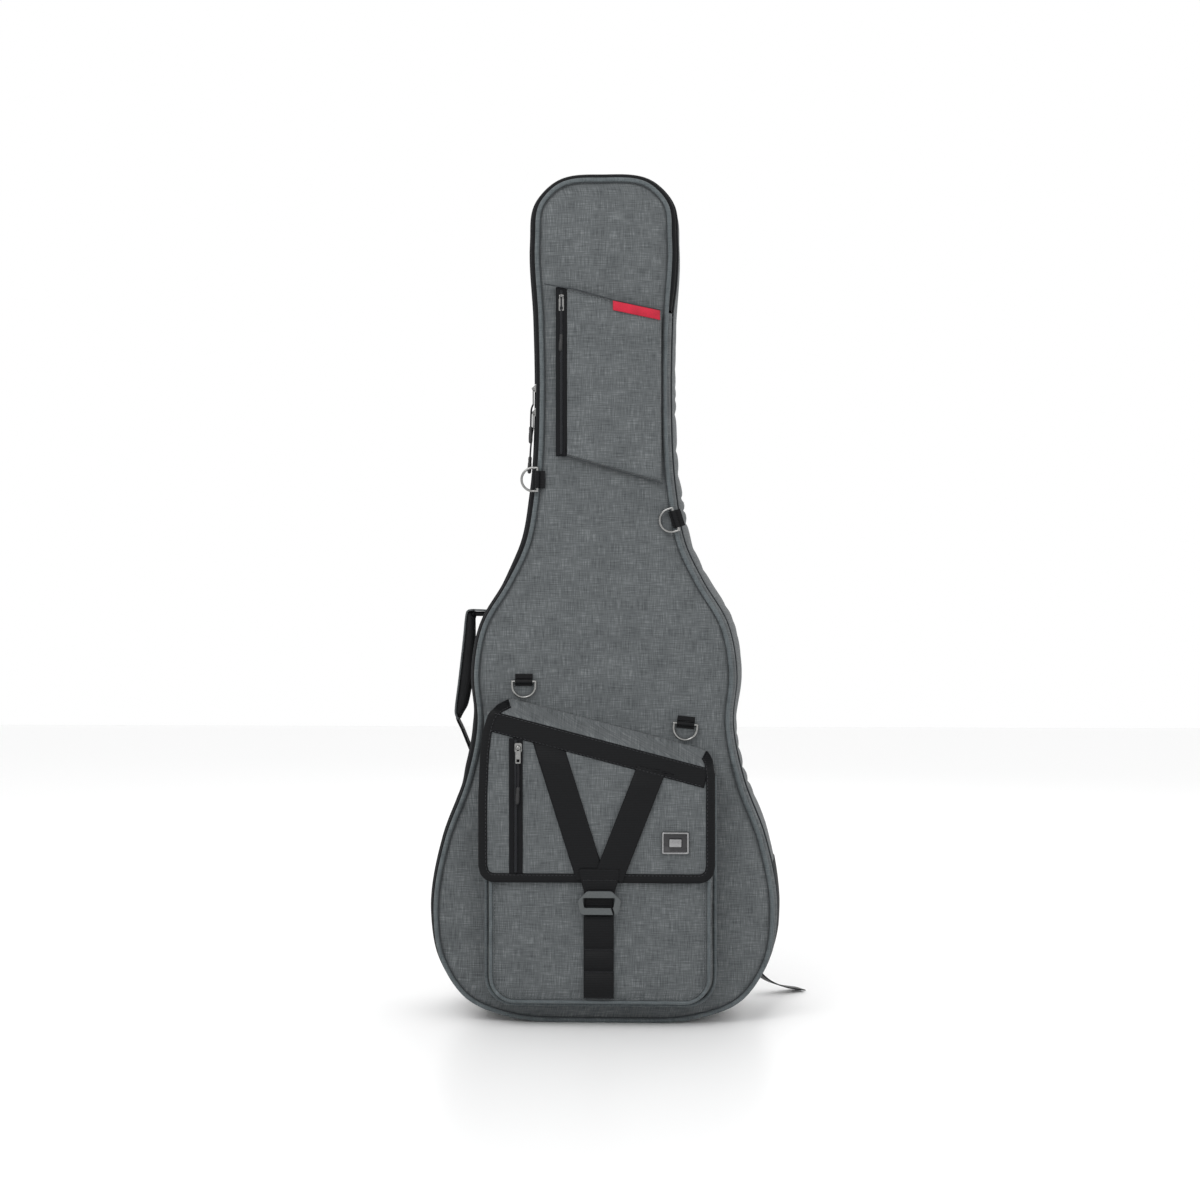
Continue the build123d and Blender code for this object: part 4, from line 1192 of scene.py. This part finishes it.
def make_rear_handle():
    z0, z1 = 0.905, 1.015
    low = [(0.0045, -0.012), (0.006, 0.004), (0.028, 0.018), (0.033, 0.055)]
    high = [(0.031, -0.020), (0.008, -0.003), (0.0045, 0.012)]
    line = smooth_line([(0, back_y(z0) + y, z0 + z) for y, z in low]
                       + [(0, back_y(z1) + y, z1 + z) for y, z in high])
    handle = profile_strip("rear_grab_handle", line, WEB, "web", 0.0028, across=(1, 0, 0))
    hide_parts("rear_handle")
    place(handle, "bag_body")


STRAP_CENTRE = [(0.052, 0.655), (0.066, 0.600), (0.092, 0.520), (0.112, 0.430), (0.120, 0.340), (0.116, 0.285)]
STRAP_MID_Y = 0.096
LOCK = (0.178, 0.112)


def make_shoulder_strap(side, word):
    centre = smooth_line([(side * x, 0, z) for x, z in STRAP_CENTRE], 0.006)[:, (0, 2)]
    ahead = np.gradient(centre, axis=0)
    ahead /= np.linalg.norm(ahead, axis=1)[:, None]
    across = np.stack([ahead[:, 1], -ahead[:, 0]], axis=1)
    n = len(centre)
    share = [i / (n - 1) for i in range(n)]
    half = [0.032 * (0.62 + 0.38 * ease(t / 0.12) * ease((1 - t) / 0.12)) for t in share]
    rings = []
    for i, t in enumerate(share):
        channel = 0.0016 * math.exp(-((t - 0.33) / 0.012) ** 2) + 0.0016 * math.exp(-((t - 0.66) / 0.012) ** 2)
        cap = min(1, max(0.15, math.sin(math.pi * min(max(t, 0.002), 0.998)) * 9))
        ring = []
        for c, s in around(32, 0.75, 0.55):
            x, z = centre[i] + across[i] * c * half[i]
            ring.append((x, STRAP_MID_Y + s * (0.0068 - channel) * cap ** 0.5, z))
        rings.append(ring)
    pad = ring_object(f"strap_pad_{word}", rings, "mesh")
    spine = [(x, STRAP_MID_Y + 0.0072, z) for x, z in centre[3:n - 2]]
    web = strap_ribbon(f"strap_face_{word}", spine, ahead[3:n - 2])
    edges = []
    for sign in (-1, 1):
        line = [centre[i] + across[i] * sign * half[i] for i in range(n)]
        edges.append(tube_object(f"edge_{word}_{sign}", [(x, STRAP_MID_Y, z) for x, z in line], 0.0019, "black",
                                 segments=8))
    (x0, z0), (x1, z1) = STRAP_CENTRE[0], STRAP_CENTRE[1]
    lead = np.array((side * (x0 - x1), z0 - z1)) / math.hypot(x0 - x1, z0 - z1)
    root = [np.array((side * x0, z0)) + lead * t for t in np.linspace(-0.02, 0.012, 8)]
    root = [(x, STRAP_MID_Y - 0.003, z) for x, z in root]
    neck = strap_ribbon(f"strap_root_{word}", root, [lead] * 8, 0.036, 0.004)
    strap = join([pad, web, neck] + edges, f"padded_strap_{word}")
    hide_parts(f"shoulder_pad_{word}")
    place(strap, f"shoulder_strap_{word}")

    x, z = LOCK
    x0, z0 = STRAP_CENTRE[-1]
    run = np.array((side * (x - x0), z - z0))
    run /= np.linalg.norm(run)
    start, end = np.array((side * x0, z0)) - run * 0.016, np.array((side * x, z)) - run * 0.014
    line = []
    for t in np.linspace(0, 1, 31):
        px, pz = start + (end - start) * t
        line.append((px, STRAP_MID_Y + 0.0006 * math.sin(math.pi * t), pz))
    ribbon = strap_ribbon(f"lower_web_{word}", line, [run] * 31)
    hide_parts(f"lower_webbing_{word}")
    place(ribbon, f"lower_webbing_{word}")


def strap_ribbon(name, line, heading, width=0.025, thickness=0.0015):
    """Flat webbing along a line on the back; heading gives its (x, z) direction at each point."""
    grid = []
    for p, (hx, hz) in zip(line, heading):
        a = np.array((hz, 0, -hx)) / math.hypot(hx, hz)
        grid.append([np.array(p) + a * u * width / 2 for u in np.linspace(-1, 1, 9)])
    return sheet_object(name, grid, "web", thickness)


TAILS = [
    ("right", (0.186, 0.098), (0.87, 0.5),
     [(0, 0.088), (0.014, 0.050), (0.036, 0.024), (0.066, 0.009), (0.100, 0.0013)]),
    ("left", (-0.178, 0.098), (0.5, 0.87),
     [(0, 0.088), (0.010, 0.052), (0.022, 0.026), (0.042, 0.008), (0.078, 0.0013)]),
]


def make_tails():
    for word, (x, y), (dx, dy), heights in TAILS:
        line = smooth_line([(x + dx * a, y + dy * a, z + 0.0006) for a, z in heights])
        tail = profile_strip(f"adjuster_tail_{word}", line, WEB, "web_shiny", 0.0015, across=(-dy, dx, 0))
        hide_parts(f"strap_tail_{word}")
        place(tail, "bag_body")


# ---------------------------------------------------------------- CAD nodes that stay
def make_kept_parts():
    for name in ("upper_left", "upper_right", "lower_left", "lower_right"):
        dress(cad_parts[f"d_ring_{name}"].data, "nickel")
    place(bevelled_copy("d_ring_tabs", "ring_tab_webbing", "web", 0.0004), "front_lid")
    place(bevelled_copy("strap_anchors", "strap_anchor_webbing", "web", 0.0004), "bag_body")
    place(bevelled_copy("interior_pads", "plush_cradle_blocks", "lining", 0.0055, 5), "bag_body")
    place(bevelled_copy("hook_buckle", "open_gate_hook", "painted", 0.0011, 4), "hook")
    place(bevelled_copy("ladder_locks", "ladder_lock_buckles", "plastic", 0.0009), "bag_body")


# ---------------------------------------------------------------- studio
def make_studio():
    scene = bpy.context.scene
    world = bpy.data.worlds.new("studio")
    world.use_nodes = True
    world.node_tree.nodes["Background"].inputs["Color"].default_value = (1, 1, 1, 1)
    world.node_tree.nodes["Background"].inputs["Strength"].default_value = 1.0
    scene.world = world
    scene.view_settings.view_transform = "Standard"

    reach = 6.0
    floor_mesh = bpy.data.meshes.new("floor")
    corners = [(x * reach, y * reach, 0) for x, y in ((-1, -1), (1, -1), (1, 1), (-1, 1))]
    floor_mesh.from_pydata(corners, [], [(0, 1, 2, 3)])
    white = Material("floor_white", roughness=0.30, specular=0.18)
    white.shader.inputs["Base Color"].default_value = (0.94, 0.94, 0.94, 1)
    floor_mesh.materials.append(white.mat)
    new_object("studio_floor", floor_mesh)

    for name, location, aim, size, power in (
            ("key", (-0.9, -2.0, 2.5), (0, 0, 0.75), (1.4, 1.4), 26),
            ("fill", (2.2, -2.0, 1.4), (0, 0, 0.5), (1.6, 2.0), 8),
            ("rim", (0.6, 2.4, 2.2), (0, 0, 0.6), (2.0, 1.2), 14)):
        light = bpy.data.lights.new(name, "AREA")
        light.shape = "RECTANGLE"
        light.size, light.size_y = size
        light.energy = power
        lamp = new_object(name, light)
        lamp.location = location
        lamp.rotation_euler = (Vector(aim) - Vector(location)).to_track_quat("-Z", "Y").to_euler()

    distance, yaw = 2.6, math.radians(2.5)
    aim = Vector((-0.0044, -0.084, 0.558))
    camera_data = bpy.data.cameras.new("camera")
    camera_data.sensor_width = 36
    camera_data.lens = 36 * distance / 1.583
    camera = new_object("camera", camera_data)
    camera.location = aim + Vector((math.sin(yaw), -math.cos(yaw), 0)) * distance
    camera.rotation_euler = (aim - camera.location).to_track_quat("-Z", "Y").to_euler()
    scene.camera = camera


make_studio()
for zip_facts in ZIPS:
    make_zip_pull(*zip_facts)
make_front_panel()
make_zipper()
make_side_wall()
make_back()
make_back_pads()
make_lining()
make_neck_pocket()
make_pocket()
make_daisy_chain()
make_flap()
make_badge()
make_side_handle()
make_rear_handle()
for strap_side, strap_word in ((-1, "left"), (1, "right")):
    make_shoulder_strap(strap_side, strap_word)
make_tails()
make_kept_parts()
